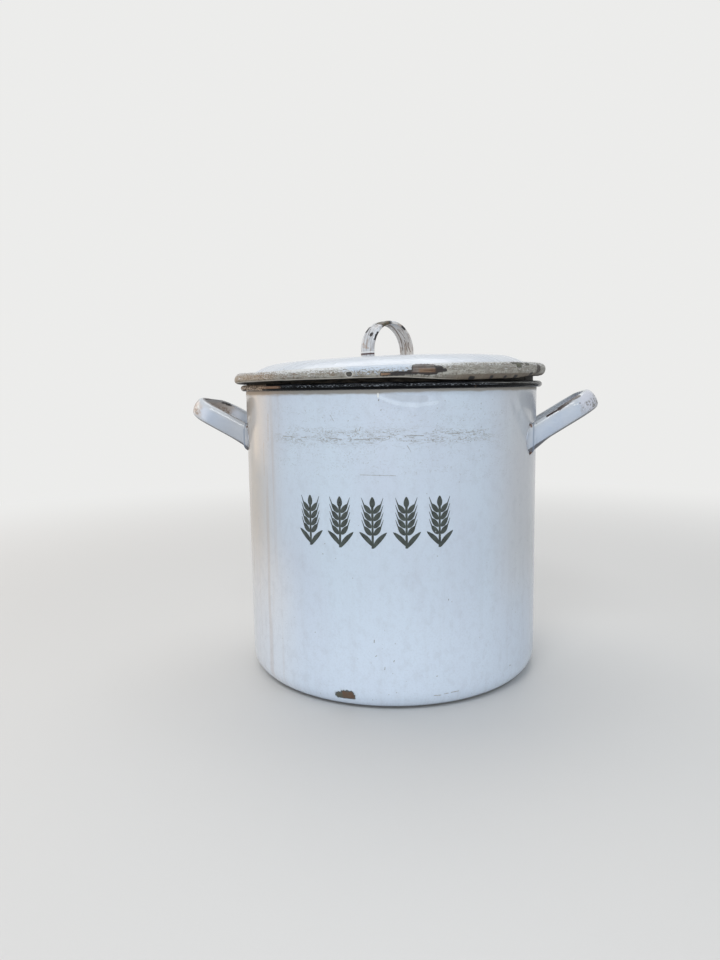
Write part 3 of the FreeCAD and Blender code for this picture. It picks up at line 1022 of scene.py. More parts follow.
enamelColours = {
    "white": colour(194, 208, 222),
    "lilac": colour(192, 203, 218),
    "ivory": colour(190, 182, 173),
    "inside": colour(208, 215, 220),
    "groundCoat": colour(52, 56, 60),
    "steel": colour(86, 70, 56),
    "rust": colour(96, 60, 38),
    "grimeWithShadow": colour(134, 126, 112),
    "brownGrimeWithShadow": colour(152, 128, 102),
    "black": colour(8, 9, 11),
    "ornament": colour(50, 57, 55),
}


def makeBinEnamel():
    c = enamelColours
    material, place, around = newRoundMaterial("binEnamel")
    wrapped, ring, arc = around["wrapped"], around["ring"], around["arc"]
    height, outer = around["height"], around["outside"]

    # body colour: cool in front as painted cool light, ivory towards both sides as painted warm light,
    # mottled and faintly streaked
    mottle = noise(ring, (16, 16, 8), 3.0, 0.55)
    streaks = noise(ring, (120, 120, 8))
    body = mixColour(eased(mottle, 0.3, 0.72), c["white"], c["lilac"])
    # painted warm light on both sides, stronger on the left
    sideLight = eased(arc, -0.078, -0.155) * eased(arc, -0.4, -0.3)
    sideLight = sideLight | band(arc, 0.125, 0.34, 0.03) * eased(height, 0.05, 0.12) * 0.4
    sideLightColour = mixColour(eased(height, 0.09, 0.19), colour(206, 200, 194), c["ivory"])
    body = coat(body, sideLight, sideLightColour)
    # painted light: lighter low on the left, and lighter and bluer towards the foot
    lowLeftLight = band(arc, -0.35, -0.085, 0.025) * eased(height, 0.17, 0.07)
    body = coat(body, lowLeftLight * 0.75, 222, 221, 221)
    body = coat(body, eased(height, 0.15, 0.03) * 0.6, 215, 228, 244)
    cloud = noise(ring, (130, 130, 100), 4.0, 0.6, shift=(2, 2, 0))
    grain = noise(ring, 620.0, 2.0, 0.6)
    body = coat(body, eased(cloud, 0.46, 0.7) * 0.15, 164, 170, 180)
    body = coat(body, eased(grain, 0.45, 0.75) * 0.14, 160, 166, 176)
    body = coat(body, eased(streaks, 0.48, 0.75) * 0.1, 170, 174, 182)

    # hairlines where hands and lid have rubbed, in a band below the rim
    level = band(height, 0.2365, 0.2505, 0.004) * band(arc, -0.1, 0.115, 0.02)
    longLines = hairs(ring, (60, 60, 620), 7.0, 0.13)
    curly = hairs(ring, (270, 270, 360), 4.0, 0.08)
    patchy = eased(noise(ring, (65, 65, 230)), 0.42, 0.54)
    wide = band(height, 0.205, 0.272, 0.012) * band(arc, -0.12, 0.14, 0.03)
    rubbed = (longLines | curly) * level * patchy * 0.8 | curly * wide * patchy * 0.3
    single = scratches(wrapped, [(-88, 243.2, -74, 242.6, 0.3, 1.0), (-66, 242.2, -60, 242.8, 0.3, 1.0),
                        (-40, 242.6, -26, 241.4, 0.35, 1.0), (-14, 241.0, 8, 242.2, 0.35, 1.0),
                        (30, 244.4, 44, 243.9, 0.35, 1.0), (66, 244.8, 80, 245.2, 0.3, 1.0),
                        (-13.9, 247.6, -12.8, 251.0, 0.3, 0.5), (-10.4, 248.6, -9.0, 252.0, 0.3, 0.5),
                        (-10, 211.4, 20, 210.6, 0.22, 1.0), (-36, 262, -33, 257, 0.25, 0.9),
                        (30, 236, 33, 231, 0.25, 0.9), (53, 14.4, 59, 14.2, 0.4, 0.8),
                        (62, 15, 66, 15.2, 0.35, 0.8), (69, 15.4, 76, 15.8, 0.4, 0.8)])
    rubbed = (rubbed | single * 0.75) * outer
    body = coat(body, rubbed * 0.95, 118, 114, 104)

    # the fold below the rim: painted shade above its ridge, a painted highlight along it
    foldShade = scratches(wrapped, [(14, 278.6, 26, 275.4, 2.4, 0.2), (26, 275.4, 46, 274.6, 2.8, 0.2)])
    body = coat(body, foldShade * outer * 0.3, 160, 166, 174)
    foldHighlight = scratches(wrapped, [(8, 276.5, 16, 272.8, 1.3, 0.2), (16, 272.8, 27, 270.2, 1.7, 0.2),
                       (27, 270.2, 40, 269.4, 1.9, 0.2), (40, 269.4, 56, 271.4, 1.5, 0.2)])
    body = coat(body, foldHighlight * outer * 0.32, 218, 230, 242)

    # small specks: beside the knock, in a column down to the foot, a few anywhere
    patch = band(height, 0.237, 0.277, 0.008) * band(arc, 0.05, 0.125, 0.015)
    column = band(height, 0.006, 0.07, 0.01) * band(arc, -0.012, 0.03, 0.01)
    low = band(height, 0.004, 0.02, 0.004) * band(arc, 0.0, 0.085, 0.02)
    zone = patch | column | low
    fine = pitted(ring, 330.0, 0.15, zone * 0.4 + 0.035)
    dots = pitted(ring, 110.0, 0.075, zone * 0.22 + 0.06)
    single = scratches(wrapped, [(139.3, 25.1, 140.1, 25.1, 0.4, 0.5), (54.9, 32.2, 55.7, 32.4, 0.35, 0.7),
                        (-0.1, 64.5, 0.2, 66.7, 0.35, 0.8), (0.9, 51.8, 2.1, 52.6, 0.35, 0.7),
                        (17, 47.4, 17.4, 48.6, 0.35, 0.7), (9.0, 40.0, 9.3, 42.4, 0.3, 0.9),
                        (6.5, 273.9, 6.7, 274.5, 0.5, 0.4), (-61.2, 265.5, -60.8, 265.4, 0.3, 0.5),
                        (8.3, 265.4, 8.5, 266.3, 0.3, 0.6), (-20.0, 256.8, -19.7, 257.3, 0.3, 0.6),
                        (66, 100, 66.3, 101, 0.3, 0.6), (-44, 150, -43.6, 150.2, 0.3, 0.6)])
    body = coat(body, (fine * 0.5 | dots * 0.6 | single * 0.8) * outer, 106, 102, 90)

    # grime packed under the rim, browner towards the left, with a painted shadow under the bead
    blotch = noise(ring, (60, 60, 200))
    reach = height + (blotch - 0.5) * 0.003 - eased(arc, 0.0, 0.04) * 0.0009
    grimeAndShadow = eased(reach, 0.2784, 0.2806) * outer
    grimeAndShadowColour = mixColour(band(arc, -0.3, -0.09, 0.03), c["grimeWithShadow"], c["brownGrimeWithShadow"])
    body = coat(body, grimeAndShadow * 0.8, grimeAndShadowColour)

    # faint brown runs down the left, one of them plain
    runs = noise(ring, (110, 110, 5), 2.0, 0.5, shift=(5, 0, 0))
    runs = eased(runs, 0.55, 0.7) * band(arc, -0.28, -0.095, 0.02)
    plain = scratches(wrapped, [(-111.5, 238, -110.4, 262, 0.45, 0.9), (-121, 205, -120, 236, 0.35, 0.9)])
    runs = runs * 0.2 | plain * 0.5
    body = coat(body, runs * outer, 166, 138, 110)

    # painted highlights: the chip's glint, and an upright line beside the right handle
    highlightLines = scratches(wrapped, [(6.1, 276.8, 6.1, 279.4, 0.75, 0.3), (179.5, 249, 180.5, 273, 0.5, 0.5)])
    body = coat(body, highlightLines * outer * 0.8, 226, 228, 224)

    # chips through to the steel
    chips = [(-27.2, 13.4, 8.8, 2.5, 0.6), (-25.0, 15.4, 5.6, 2.4, 0.6), (-176.2, 250.4, 1.4, 1.4, 0.5),
             (177.4, 247.2, 1.3, 1.5, 0.5), (178.2, 221.0, 1.3, 1.2, 0.4),
             (-236.0, 120.0, 5.0, 3.2, 0.5), (330.0, 34.0, 6.0, 2.8, 0.5), (300.0, 240.0, 1.6, 2.4, 0.4)]
    bare, edge, halo = (mask * outer for mask in chipMasks(wrapped, chips, rim=0.7))
    rust, metalGrain = bareMetal(place, 420.0)
    steel = mixColour(rust * 0.6, c["steel"], c["rust"])
    steel = coat(steel, metalGrain * 0.25, 126, 118, 108)
    tip = eased(arc, -0.0285, -0.0315) * eased(arc, -0.05, -0.04)
    steel = coat(steel, tip * 0.8, 84, 88, 78)
    body = coat(body, halo * 0.3, 150, 160, 158)
    body = coat(body, edge * 0.9, c["groundCoat"])
    body = coat(body, bare, steel)

    # dark line where the sheet meets the table: a scuffed edge and painted contact shadow
    footUp = height + (noise(ring, (120, 120, 300), shift=(0, 7, 0)) - 0.5) * 0.0016
    body = coat(body, eased(footUp, 0.0028, 0.0014) * outer * 0.92, 36, 38, 42)

    # inside: white, dulled in clouds, rubbed by what is lifted in and out
    inner = mixColour(eased(cloud, 0.38, 0.66), c["inside"], colour(190, 196, 200))
    inner = coat(inner, eased(streaks, 0.46, 0.7) * 0.25, 172, 178, 182)
    inner = coat(inner, (longLines | curly) * patchy * 0.3, 150, 150, 146)
    inner = coat(inner, dots * 0.7, 132, 118, 98)
    body = coat(inner, outer, body)

    gloss = mixValue(eased(mottle, 0.3, 0.7), 0.14, 0.22) + rubbed * 0.25
    rough = mixValue(bare | grimeAndShadow * 0.7, gloss, 0.62)
    relief = surfaceHeight(place, 1.0, 0.05) * 0.35 - edge * 0.5 - bare * metalGrain * 0.4
    return dress(material, body, rough, relief, 0.55, 0.0006)


def makeRimEnamel():
    # black edging, worn brown at the left; its upper side rubbed grey in streaks that are also a painted
    # highlight, with a thin painted highlight along the top at the right
    c = enamelColours
    material, place, around = newRoundMaterial("rimEnamel")
    ring, arc, height = around["ring"], around["arc"], around["height"]
    streaks = noise(ring, (48, 48, 1500), 4.0, 0.65)
    grit = noise(ring, (420, 420, 900), 3.0, 0.65, shift=(1, 2, 0))
    # painted highlight: the upper side lighter, in rubbed streaks
    upper = eased(height, 0.2848, 0.2862)
    rubbed = eased(streaks, 0.49, 0.66) * upper
    body = mixColour(rubbed * 0.6, c["black"], colour(88, 92, 98))
    # a thin painted highlight along the top
    thin = band(height, 0.2869, 0.2878, 0.0003) * eased(streaks, 0.4, 0.55)
    right = band(arc, 0.1, 0.36, 0.02)
    body = coat(body, thin * right * 0.8, 142, 142, 138)
    brown = mixColour(eased(grit, 0.46, 0.58), colour(84, 62, 46), colour(178, 160, 140))
    left = band(arc, -0.34, -0.108, 0.006)
    strip = band(arc, -0.118, -0.086, 0.004) * band(height, 0.2852, 0.2872, 0.0004)
    body = coat(body, strip * 0.85, 128, 100, 80)
    higher = eased(height, 0.2832, 0.284)
    body = coat(body, left * higher * eased(grit, 0.38, 0.48) * 0.9, brown)
    dashes = noise(ring, (520, 520, 1500), 3.0, 0.65, shift=(6, 0, 2))
    onTop = band(height, 0.2856, 0.2874, 0.0003)
    glints = eased(dashes, 0.56, 0.62) * onTop * band(arc, -0.09, 0.115, 0.02)
    body = coat(body, glints * 0.6, 160, 168, 176)
    body = coat(body, pitted(ring, 300.0, 0.22, 0.16) * 0.5, 74, 60, 50)
    worn = rubbed | left * upper
    relief = surfaceHeight(place, 1.0, 0.3) - worn * grit * 0.8
    return dress(material, body, mixValue(worn, 0.16, 0.45), relief, 0.5, 0.0004, shine=0.06)


def makeLidEnamel():
    c = enamelColours
    leanSlope, chipSlope = 0.0236, 0.0165   # rise of the edge across, and of its bare patches along the arc
    material, place, around = newRoundMaterial("lidEnamel")
    wrapped, ring, arc = around["wrapped"], around["ring"], around["arc"]
    height, radius, up = around["height"], around["radius"], around["upness"]

    # the dome: white, wiped across in long soft marks
    sweep = noise(place, (18, 90, 60))
    fine = noise(place, (40, 330, 60), shift=(2, 5, 0))
    dome = mixColour(eased(sweep, 0.34, 0.7), colour(206, 212, 219), colour(194, 201, 210))
    dome = coat(dome, eased(fine, 0.5, 0.72) * 0.3, 168, 174, 182)
    dots = pitted(place, 130.0, 0.1, 0.12)
    dome = coat(dome, dots * 0.6, 120, 110, 98)

    # the rolled edge: worn grey, sandy at the left, mottled brown in between
    left = band(arc, -0.36, -0.088, 0.014)
    right = band(arc, 0.064, 0.36, 0.008)
    smear = band(arc, -0.02, 0.034, 0.007)
    streak = noise(ring, (70, 70, 640), 4.0, 0.65, shift=(4, 4, 0))
    coarse = noise(ring, (110, 110, 420), 4.0, 0.65)
    grainy = noise(ring, (560, 560, 980), 4.0, 0.72)
    grey = mixColour(eased(coarse, 0.36, 0.64), colour(134, 132, 125), colour(166, 165, 158))
    sandy = mixColour(eased(grainy, 0.42, 0.56), colour(104, 86, 68), colour(192, 178, 160))
    edge = mixColour(left, grey, sandy)
    patches = noise(ring, (190, 190, 520), 4.0, 0.68, shift=(7, 1, 3))
    brownShare = band(arc, -0.104, -0.018, 0.012) * 0.6 + 0.25
    edge = coat(edge, eased(patches, 0.5, 0.6) * brownShare, 108, 90, 72)
    edge = coat(edge, eased(grainy, 0.53, 0.62) * 0.7, 76, 70, 60)

    # enamel left in streaks from the top down, a few flakes lower
    border = left * 0.3 + right * 0.34 + 0.4 - smear * 0.34
    drift = (streak - 0.5) * 1.3 + (grainy - 0.5) * 4.8
    held = up + drift - border
    white = eased(held, -0.04, 0.16)
    flakes = eased(streak + up * 0.06, 0.6, 0.64) * eased(up, -0.6, -0.2)
    edge = coat(edge, band(held, -0.25, -0.06, 0.08) * 0.55, 104, 92, 78)
    bluish = mixColour(smear, colour(205, 208, 209), colour(186, 198, 212))
    edge = coat(edge, white | flakes * 0.8, bluish)

    # low on the roll: a painted shade line over a painted highlight on the lip; grime with painted shade,
    # browner at the right; and painted shade over the underside
    lipped = eased(arc, 0.075, 0.05) * eased(arc, -0.3, -0.26)
    level = height - splitVector(place)[0] * leanSlope
    dusky = eased(arc, 0.05, 0.075) * eased(level, 0.2932, 0.292)
    edge = coat(edge, dusky * 0.85, mixColour(coarse, colour(66, 56, 46), colour(112, 100, 84)))
    edge = coat(edge, band(up, -0.74, -0.62, 0.05) * lipped * 0.6, 92, 86, 76)
    edge = coat(edge, band(up, -0.9, -0.79, 0.03) * lipped * 0.85, 196, 192, 182)
    edge = coat(edge, eased(up, -0.88, -0.95) * 0.95, 26, 24, 22)

    # bare patches worn through the edge: arc, height, half sizes, raggedness
    worn = [(42.6, 299.0, 8.9, 3.5, 0.4), (47.5, 298.1, 6.5, 3.3, 0.4), (53.9, 298.5, 3.6, 2.2, 0.6),
            (58.0, 297.9, 2.4, 0.8, 0.6), (27.0, 296.0, 7.5, 0.8, 0.7), (19.0, 295.5, 8.5, 0.8, 0.7),
            (12.0, 295.3, 3.0, 1.1, 0.7), (34.0, 296.5, 4.0, 1.2, 0.6), (-15.6, 295.9, 1.5, 1.2, 0.4),
            (136.0, 303.9, 8.0, 0.35, 0.8), (136.5, 302.3, 3.0, 1.6, 0.8), (151.0, 303.6, 2.6, 0.5, 0.8),
            (175.5, 299.4, 4.2, 3.2, 0.7), (84.0, 291.4, 2.2, 0.9, 0.4), (104.0, 291.9, 1.2, 0.8, 0.4),
            (120.0, 292.1, 1.0, 0.6, 0.4), (134.0, 292.4, 2.0, 0.9, 0.4), (160.4, 294.6, 2.4, 0.9, 0.6),
            (-190.0, 298.0, 8.0, 3.0, 0.5), (262.0, 297.0, 10.0, 3.6, 0.4), (398.0, 298.0, 5.0, 2.6, 0.4),
            (-330.0, 296.0, 7.0, 2.8, 0.4)]
    bare, rimMask, halo = chipMasks(wrapped, worn, fine=380.0, rim=0.7)
    rust, _ = bareMetal(ring, 260.0)
    brushed = noise(ring, (46, 46, 1100), 3.0, 0.65, shift=(0, 3, 0))
    tall = height - arc * chipSlope
    orange = eased(tall, 0.2996, 0.2974) * band(arc, 0.0385, 0.0545, 0.0018) | band(arc, 0.004, 0.0165, 0.002)
    cold = mixColour(eased(brushed, 0.4, 0.62), colour(58, 54, 52), colour(128, 124, 120))
    warm = mixColour(eased(brushed, 0.36, 0.6), colour(82, 64, 50), colour(138, 114, 92))
    steel = coat(mixColour(orange, cold, warm), rust * 0.3, c["rust"])
    tail = band(arc, 0.0165, 0.0335, 0.0012) * eased(grainy, 0.3, 0.42)
    blackFoot = band(arc, 0.0335, 0.056, 0.001) * eased(tall, 0.2962, 0.295)
    blackHook = band(arc, 0.0515, 0.062, 0.0012)
    steel = coat(steel, (tail | blackFoot | blackHook) * 0.9, 28, 26, 28)
    steel = coat(steel, band(arc, 0.125, 0.16, 0.002) * 0.8, 74, 78, 58)
    steel = coat(steel, eased(level, 0.296, 0.295) * eased(arc, 0.06, 0.07), 20, 18, 17)
    nearRound = band(arc, -0.0215, -0.0105, 0.001)
    steel = coat(steel, nearRound * 0.8, 70, 68, 60)
    farRight = eased(arc, 0.165, 0.17)
    steel = coat(steel, farRight, mixColour(grainy, colour(16, 12, 10), colour(56, 42, 32)))
    whiteRing = calc("SUBTRACT", halo, rimMask, clamp=True) * nearRound
    edge = coat(edge, whiteRing * 0.45, 214, 214, 208)
    edge = coat(edge, rimMask * 0.9, 30, 29, 31)
    edge = coat(edge, bare, steel)

    # ragged border between dome and edge, with dirt held in the gutter
    ragged = noise(place, (170, 170, 100), 4.0, 0.65, shift=(2, 9, 0)) - 0.5
    line = radius + ragged * 0.006
    onEdge = eased(line, 0.1446, 0.1458)
    fromLeft = band(arc, -0.3, 0.032, 0.006)
    kept = fromLeft * 0.5 * eased(coarse, 0.36, 0.56) + 0.3
    dome = coat(dome, band(line, 0.1408, 0.1456, 0.0012) * kept, 118, 104, 86)
    topSide = coat(dome, onEdge, edge)

    # underside of the dome: white, rubbed grey near the collar
    down = (1.0 - around["outside"]) * eased(radius, 0.1445, 0.144)
    hidden = mixColour(eased(sweep, 0.4, 0.7), colour(204, 210, 214), colour(186, 190, 194))
    hidden = coat(hidden, eased(radius, 0.13, 0.142) * 0.5, 140, 140, 136)
    rough = mixValue(onEdge, mixValue(eased(sweep, 0.35, 0.7), 0.2, 0.34), 0.55)
    rough = mixValue(white * onEdge, rough, 0.28)
    relief = surfaceHeight(place, 1.0, 0.06) * 0.3 + (grainy * 0.9 + white * 0.35) * onEdge
    return dress(material, coat(topSide, down, hidden), rough, relief, 0.7, 0.0006)


def makeCollarEnamel():
    material, _, around = newRoundMaterial("collarEnamel")
    ring = around["ring"]
    rough = noise(ring, (110, 110, 500), 4.0, 0.65)
    # dark with pits; the dark body is painted shade for the gap under the lid's rolled edge
    body = mixColour(eased(rough, 0.36, 0.66), colour(24, 22, 20), colour(58, 53, 46))
    spots = pitted(ring, 210.0, 0.36, 0.4)
    body = coat(body, spots * 0.8, 22, 20, 18)
    return dress(material, body, mixValue(spots, 0.6, 0.85), rough - spots, 0.6, 0.0005, shine=0.1)


def makeGripEnamel():
    s = gripSizes
    material, place, _ = newMaterial("gripEnamel")
    side, depth, height = splitVector(place)

    # places along the strap, across the loop and over the strap's width; inwards from its outer face
    leftSide = eased(side, 0.01, -0.01)
    rightSide = eased(side, -0.01, 0.01)
    tilts = [math.radians(tilt) for tilt in (s["tilt"], leftAskew["tilt"])]
    rolls = [math.radians(roll) for roll in (-rightAskew["roll"], leftAskew["roll"])]
    cosine = mixValue(leftSide, *map(math.cos, tilts))
    sine = mixValue(leftSide, *map(math.sin, tilts))
    rollSlope = mixValue(leftSide, *map(math.tan, rolls))
    root = mixValue(leftSide, mm(rightAskew["rootUp"]), mm(leftAskew["rootUp"]))
    wallAt = math.sqrt(s["wallRadius"] ** 2 - s["halfSpan"] ** 2) / 1000
    off = abs(side) - wallAt
    risen = height - root + depth * rollSlope
    along = off * cosine + risen * sine
    over = risen * cosine - off * sine
    strap = joinVector(along, depth, over)
    fromBend = joinVector(along - mm(s["reach"] - s["bend"]) | 0.0,
                          abs(depth) - mm(s["halfSpan"] - s["bend"]) | 0.0, 0.0)
    inwards = mm(s["bend"]) - vectorCalc("LENGTH", fromBend)
    near = eased(depth, 0.0, -0.01)

    # the grips' enamel is darker than the bin's: painted shade
    mottle = noise(place, 42.0, 3.0, 0.55)
    body = mixColour(eased(mottle, 0.32, 0.7), colour(174, 186, 203), colour(186, 195, 207))
    grit = noise(place, 420.0, 4.0, 0.7)
    # painted light: lighter towards the upper lip; on the left grip painted shade towards the wall and a
    # painted highlight on the bend
    body = coat(body, eased(over, 0.003, 0.008) * 0.45, 206, 208, 206)
    body = coat(body, leftSide * eased(along, 0.056, 0.016) * 0.6, 166, 168, 172)
    body = coat(body, leftSide * band(along, 0.047, 0.068, 0.006) * 0.55, 228, 232, 242)

    # the outer end: rubbed lilac white, speckled where the hand goes, sandy at the left
    wander = (noise(place, 90.0) - 0.5) * 0.016
    handled = eased(along + wander, 0.052, 0.06)
    pale = mixColour(leftSide, colour(204, 206, 216), colour(206, 196, 188))
    outerFace = eased(inwards, 0.0034, 0.0022)
    body = coat(body, handled * outerFace * 0.75, pale)
    lower = eased(over + wander, 0.004, 0.0)
    speckled = handled * lower * eased(grit, 0.47, 0.58) * outerFace
    wearColour = mixColour(leftSide, colour(112, 110, 104), colour(150, 122, 98))
    body = coat(body, speckled * 0.85, wearColour)
    body = coat(body, pitted(place, 230.0, 0.16, handled * 0.35 + 0.05) * 0.7, 84, 76, 66)

    # grey inside the channel; dark lips, raw steel and rust with painted shade; a dark line along the lower
    # edge, a dark lip with painted shade under it
    body = coat(body, eased(inwards, 0.0016, 0.0034) * 0.8, 190, 195, 200)
    ragged = (grit - 0.5) * 0.003
    tip = eased(inwards + ragged, 0.005, 0.0058)
    edge = eased(abs(over), 0.0075, 0.0085)
    rim = mixColour(near, colour(140, 138, 136), mixColour(grit, enamelColours["rust"], colour(44, 38, 38)))
    body = coat(body, tip * edge * mixValue(near, 0.4, 0.6), rim)
    bottom = eased(over + ragged * 0.3, -0.0078, -0.0092)
    body = coat(body, bottom * 0.85, 66, 64, 68)

    # single marks: from, to along the strap, then half width and how broken
    leftChip = scratches(strap, [(67, 37.0, 9.6, 61, 44.5, 9.6, 3.6, 0.3)])
    # painted highlights on the upper edge, and a painted highlight patch at the outer end
    leftHighlight = scratches(strap, [(55, -51.4, 3.4, 27, -51.6, 0.8, 1.0, 0.2)])
    leftHighlightPatch = scratches(strap, [(60, -47, -1, 64, -43, 3, 2.0, 1.0)])
    # a dark brown line inside the top lip: rust and painted shade
    rightLine = scratches(strap, [(24, -48.2, 9.2, 40, -48.2, 9.0, 1.6, 0.4),
                           (36, -48.2, 9.0, 58, -44.0, 9.8, 2.4, 0.3)])
    rightHighlight = scratches(strap, [(18, -50.8, 7.0, 44, -51.0, 6.0, 1.0, 0.8),
                             (44, -51.0, 6.0, 53, -49.8, 3.6, 1.1, 0.9),
                             (53, -49.8, 3.6, 58, -47.5, 6.6, 0.9, 0.9)])
    # white marks: painted highlights
    white = leftSide * (leftHighlight | leftHighlightPatch) | rightSide * rightHighlight
    body = coat(body, white * 0.9, 236, 239, 238)
    body = coat(body, rightSide * rightLine * 0.95, 52, 36, 32)
    body = coat(body, leftSide * leftChip * 0.95, 26, 25, 26)

    # painted shade in the crease beside the wall, and rust in the joint
    creaseShade = band(off, 0.0022, 0.0038, 0.0005) * near
    body = coat(body, creaseShade * 0.6, 108, 122, 142)
    spots = scratches(place, [(-137.4, -52.6, 249.6, -137.4, -52.6, 248.0, 1.5, 0.5),
                       (138.3, -52.7, 248.0, 138.3, -52.7, 246.4, 1.5, 0.5),
                       (138.3, -52.2, 221.6, 138.3, -52.2, 220.2, 1.3, 0.5)])
    radius = vectorCalc("LENGTH", vectorCalc("MULTIPLY", place, (1, 1, 0)))
    rootNoise = noise(place, 160.0, 4.0, 0.65)
    joint = eased(radius + (rootNoise - 0.5) * 0.006, 0.149, 0.1472) * eased(rootNoise, 0.52, 0.64) * 0.8
    rusted = joint | spots
    body = coat(body, rusted * 0.9, enamelColours["rust"])
    rough = mixValue(speckled | rusted | tip * edge, 0.18, 0.55)
    relief = surfaceHeight(place, 1.0, 0.08) * 0.4 - speckled * 0.5
    return dress(material, body, rough, relief, 0.6, 0.0005)


def makeBowEnamel():
    # in the arch's own frame: the origin in the middle of its bend, x across it, y over the strap
    s = bowSizes
    material, place, _ = newMaterial("bowEnamel")
    middle = mm(0, 0, lidSizes["top"] + s["rise"] - s["radius"])
    turned = (0, 0, math.radians(s["turn"]))
    place = Field(addNode("ShaderNodeMapping", place, middle, turned, vector_type="TEXTURE").outputs[0])
    across, over, height = splitVector(place)
    turn = calc("ARCTAN2", height, across)
    wrapped = joinVector(turn * mm(s["radius"]), over, 0.0)
    out = vectorCalc("LENGTH", joinVector(across, 0.0, height | 0.0))
    inside = eased(out, mm(s["radius"] - 1.1), mm(s["radius"] - 1.6))

    flow = noise(wrapped, (80, 420, 1), 4.0, 0.62)
    body = mixColour(eased(flow, 0.38, 0.62), colour(206, 210, 215), colour(172, 173, 176))
    body = coat(body, inside * 0.6, 222, 216, 208)
    brownish = noise(wrapped, (60, 330, 1), shift=(3, 3, 0))
    stained = eased(brownish + inside * 0.06, 0.56, 0.68)
    body = coat(body, stained * 0.6, 126, 100, 78)
    body = coat(body, pitted(place, 330.0, 0.2, 0.2) * 0.5, 96, 84, 72)

    # marks: degrees from the arch's right end, place over the strap, both again, half width, how broken
    degree = s["radius"] * math.pi / 180

    def archLines(lines):
        return scratches(wrapped, [(start * degree, overStart, end * degree, overEnd, *rest)
                                   for start, overStart, end, overEnd, *rest in lines])

    lines = archLines([(56, 4.6, 30, 1.6, 0.45, 0.9), (28, 3.4, 4, 1.8, 0.5, 0.7),
                       (70, 7.6, 6, 8.0, 0.5, 0.9), (22, -1.6, 14, 0.0, 0.55, 0.4),
                       (14, 0.0, 3, -2.6, 0.6, 0.4), (150, 2.0, 136, 3.5, 0.4, 0.8)])
    body = coat(body, lines * 0.8, 88, 68, 54)
    stains = archLines([(171, 1.5, 166, 6.5, 1.3, 1.0), (174, -2.0, 171, 6.0, 0.9, 1.0)])
    body = coat(body, stains * 0.4, 150, 116, 84)
    patches = [(angle * degree, *rest) for angle, *rest in (
        (110, -5.8, 7.0, 3.6, 0.7), (115, 1.5, 3.6, 2.6, 0.8), (148.3, -1.7, 2.0, 1.9, 0.3),
        (149, -8.4, 5.4, 1.5, 0.6), (136, 7.9, 3.8, 1.2, 0.7), (61, -7.9, 3.6, 1.4, 0.7))]
    bare, edge, _ = chipMasks(wrapped, patches, fine=420.0, rim=0.3)
    rust, _ = bareMetal(wrapped, 330.0)
    olive = mixColour(rust, colour(70, 68, 50), colour(86, 68, 50))
    nearTop = band(turn, 1.8, 2.12, 0.03)
    body = coat(body, edge, 26, 25, 28)
    body = coat(body, bare * nearTop * 0.85, olive)

    # a dark red line above the left foot, a painted highlight over it
    leftLeg = eased(across, -0.01, -0.02)
    body = coat(body, band(height, -0.001, 0.0004, 0.0003) * leftLeg * 0.9, 226, 228, 228)
    body = coat(body, band(height, -0.0029, -0.0013, 0.0002) * leftLeg * 0.95, 62, 26, 26)
    relief = surfaceHeight(place, 0.6, 0.3) + flow * 0.7 - edge * 0.9
    return dress(material, body, mixValue(edge | stained, 0.2, 0.48), relief, 0.6, 0.0005)


def makeStencilEnamel():
    material, place, around = newRoundMaterial("stencilEnamel")
    wrapped = around["wrapped"]
    cloud = noise(wrapped, 160.0)
    body = mixColour(eased(cloud, 0.35, 0.7), enamelColours["ornament"], colour(66, 75, 72))
    spots = pitted(wrapped, 260.0, 0.16, 0.1)
    body = coat(body, spots * 0.7, 150, 160, 166)
    return dress(material, body, mixValue(cloud, 0.2, 0.4), surfaceHeight(place, 0.6, 0.2), 0.5, 0.0004)


def makeWireSteel():
    material, place, around = newRoundMaterial("rimWireSteel")
    drawn = noise(around["ring"], (30, 30, 1500))
    rust, metalGrain = bareMetal(place, 240.0)
    body = mixColour(drawn, colour(92, 90, 88), colour(134, 132, 128))
    body = coat(body, rust, enamelColours["rust"])
    return dress(material, body, mixValue(rust, 0.38, 0.75), metalGrain, 0.4, 0.0002,
                 metal=mixValue(rust, 0.9, 0.1))


# build every piece

def finishPiece(piece, material, body, slot, *nodes):
    piece.data.materials.clear()
    piece.data.materials.append(material)
    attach(piece, body)
    if nodes:
        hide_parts(*nodes)


def edgeInBlack(shell):
    # the faces of the curl get the rim's material as a second slot
    low = mm(binSizes["edging"])
    outside = mm(binSizes["radius"] + 0.7)
    over = mm(binSizes["wireUp"] - 0.5)
    shell.data.materials.append(makeRimEnamel())
    startEdit(shell)
    pick(shell, lambda vertex: vertex.co.z > over or (
        vertex.co.z > low and math.hypot(vertex.co.x, vertex.co.y) > outside))
    shell.active_material_index = 1
    bpy.ops.object.material_slot_assign()
    stopEdit()


binShell = makeBin()
print("bin shell:", len(binShell.data.polygons), "faces")
rightGrip = makeGrip("rightGrip", 0, rightAskew)
leftGrip = makeGrip("leftGrip", 180, leftAskew)
print("side handles:", len(rightGrip.data.polygons), "faces each")
lidShell = makeLid()
lidCollar = makeCollar()
lidBow = makeBow()
print("lid:", len(lidShell.data.polygons), "faces")
wheatEars = layEars(binShell)
print("wheat ears:", len(wheatEars))

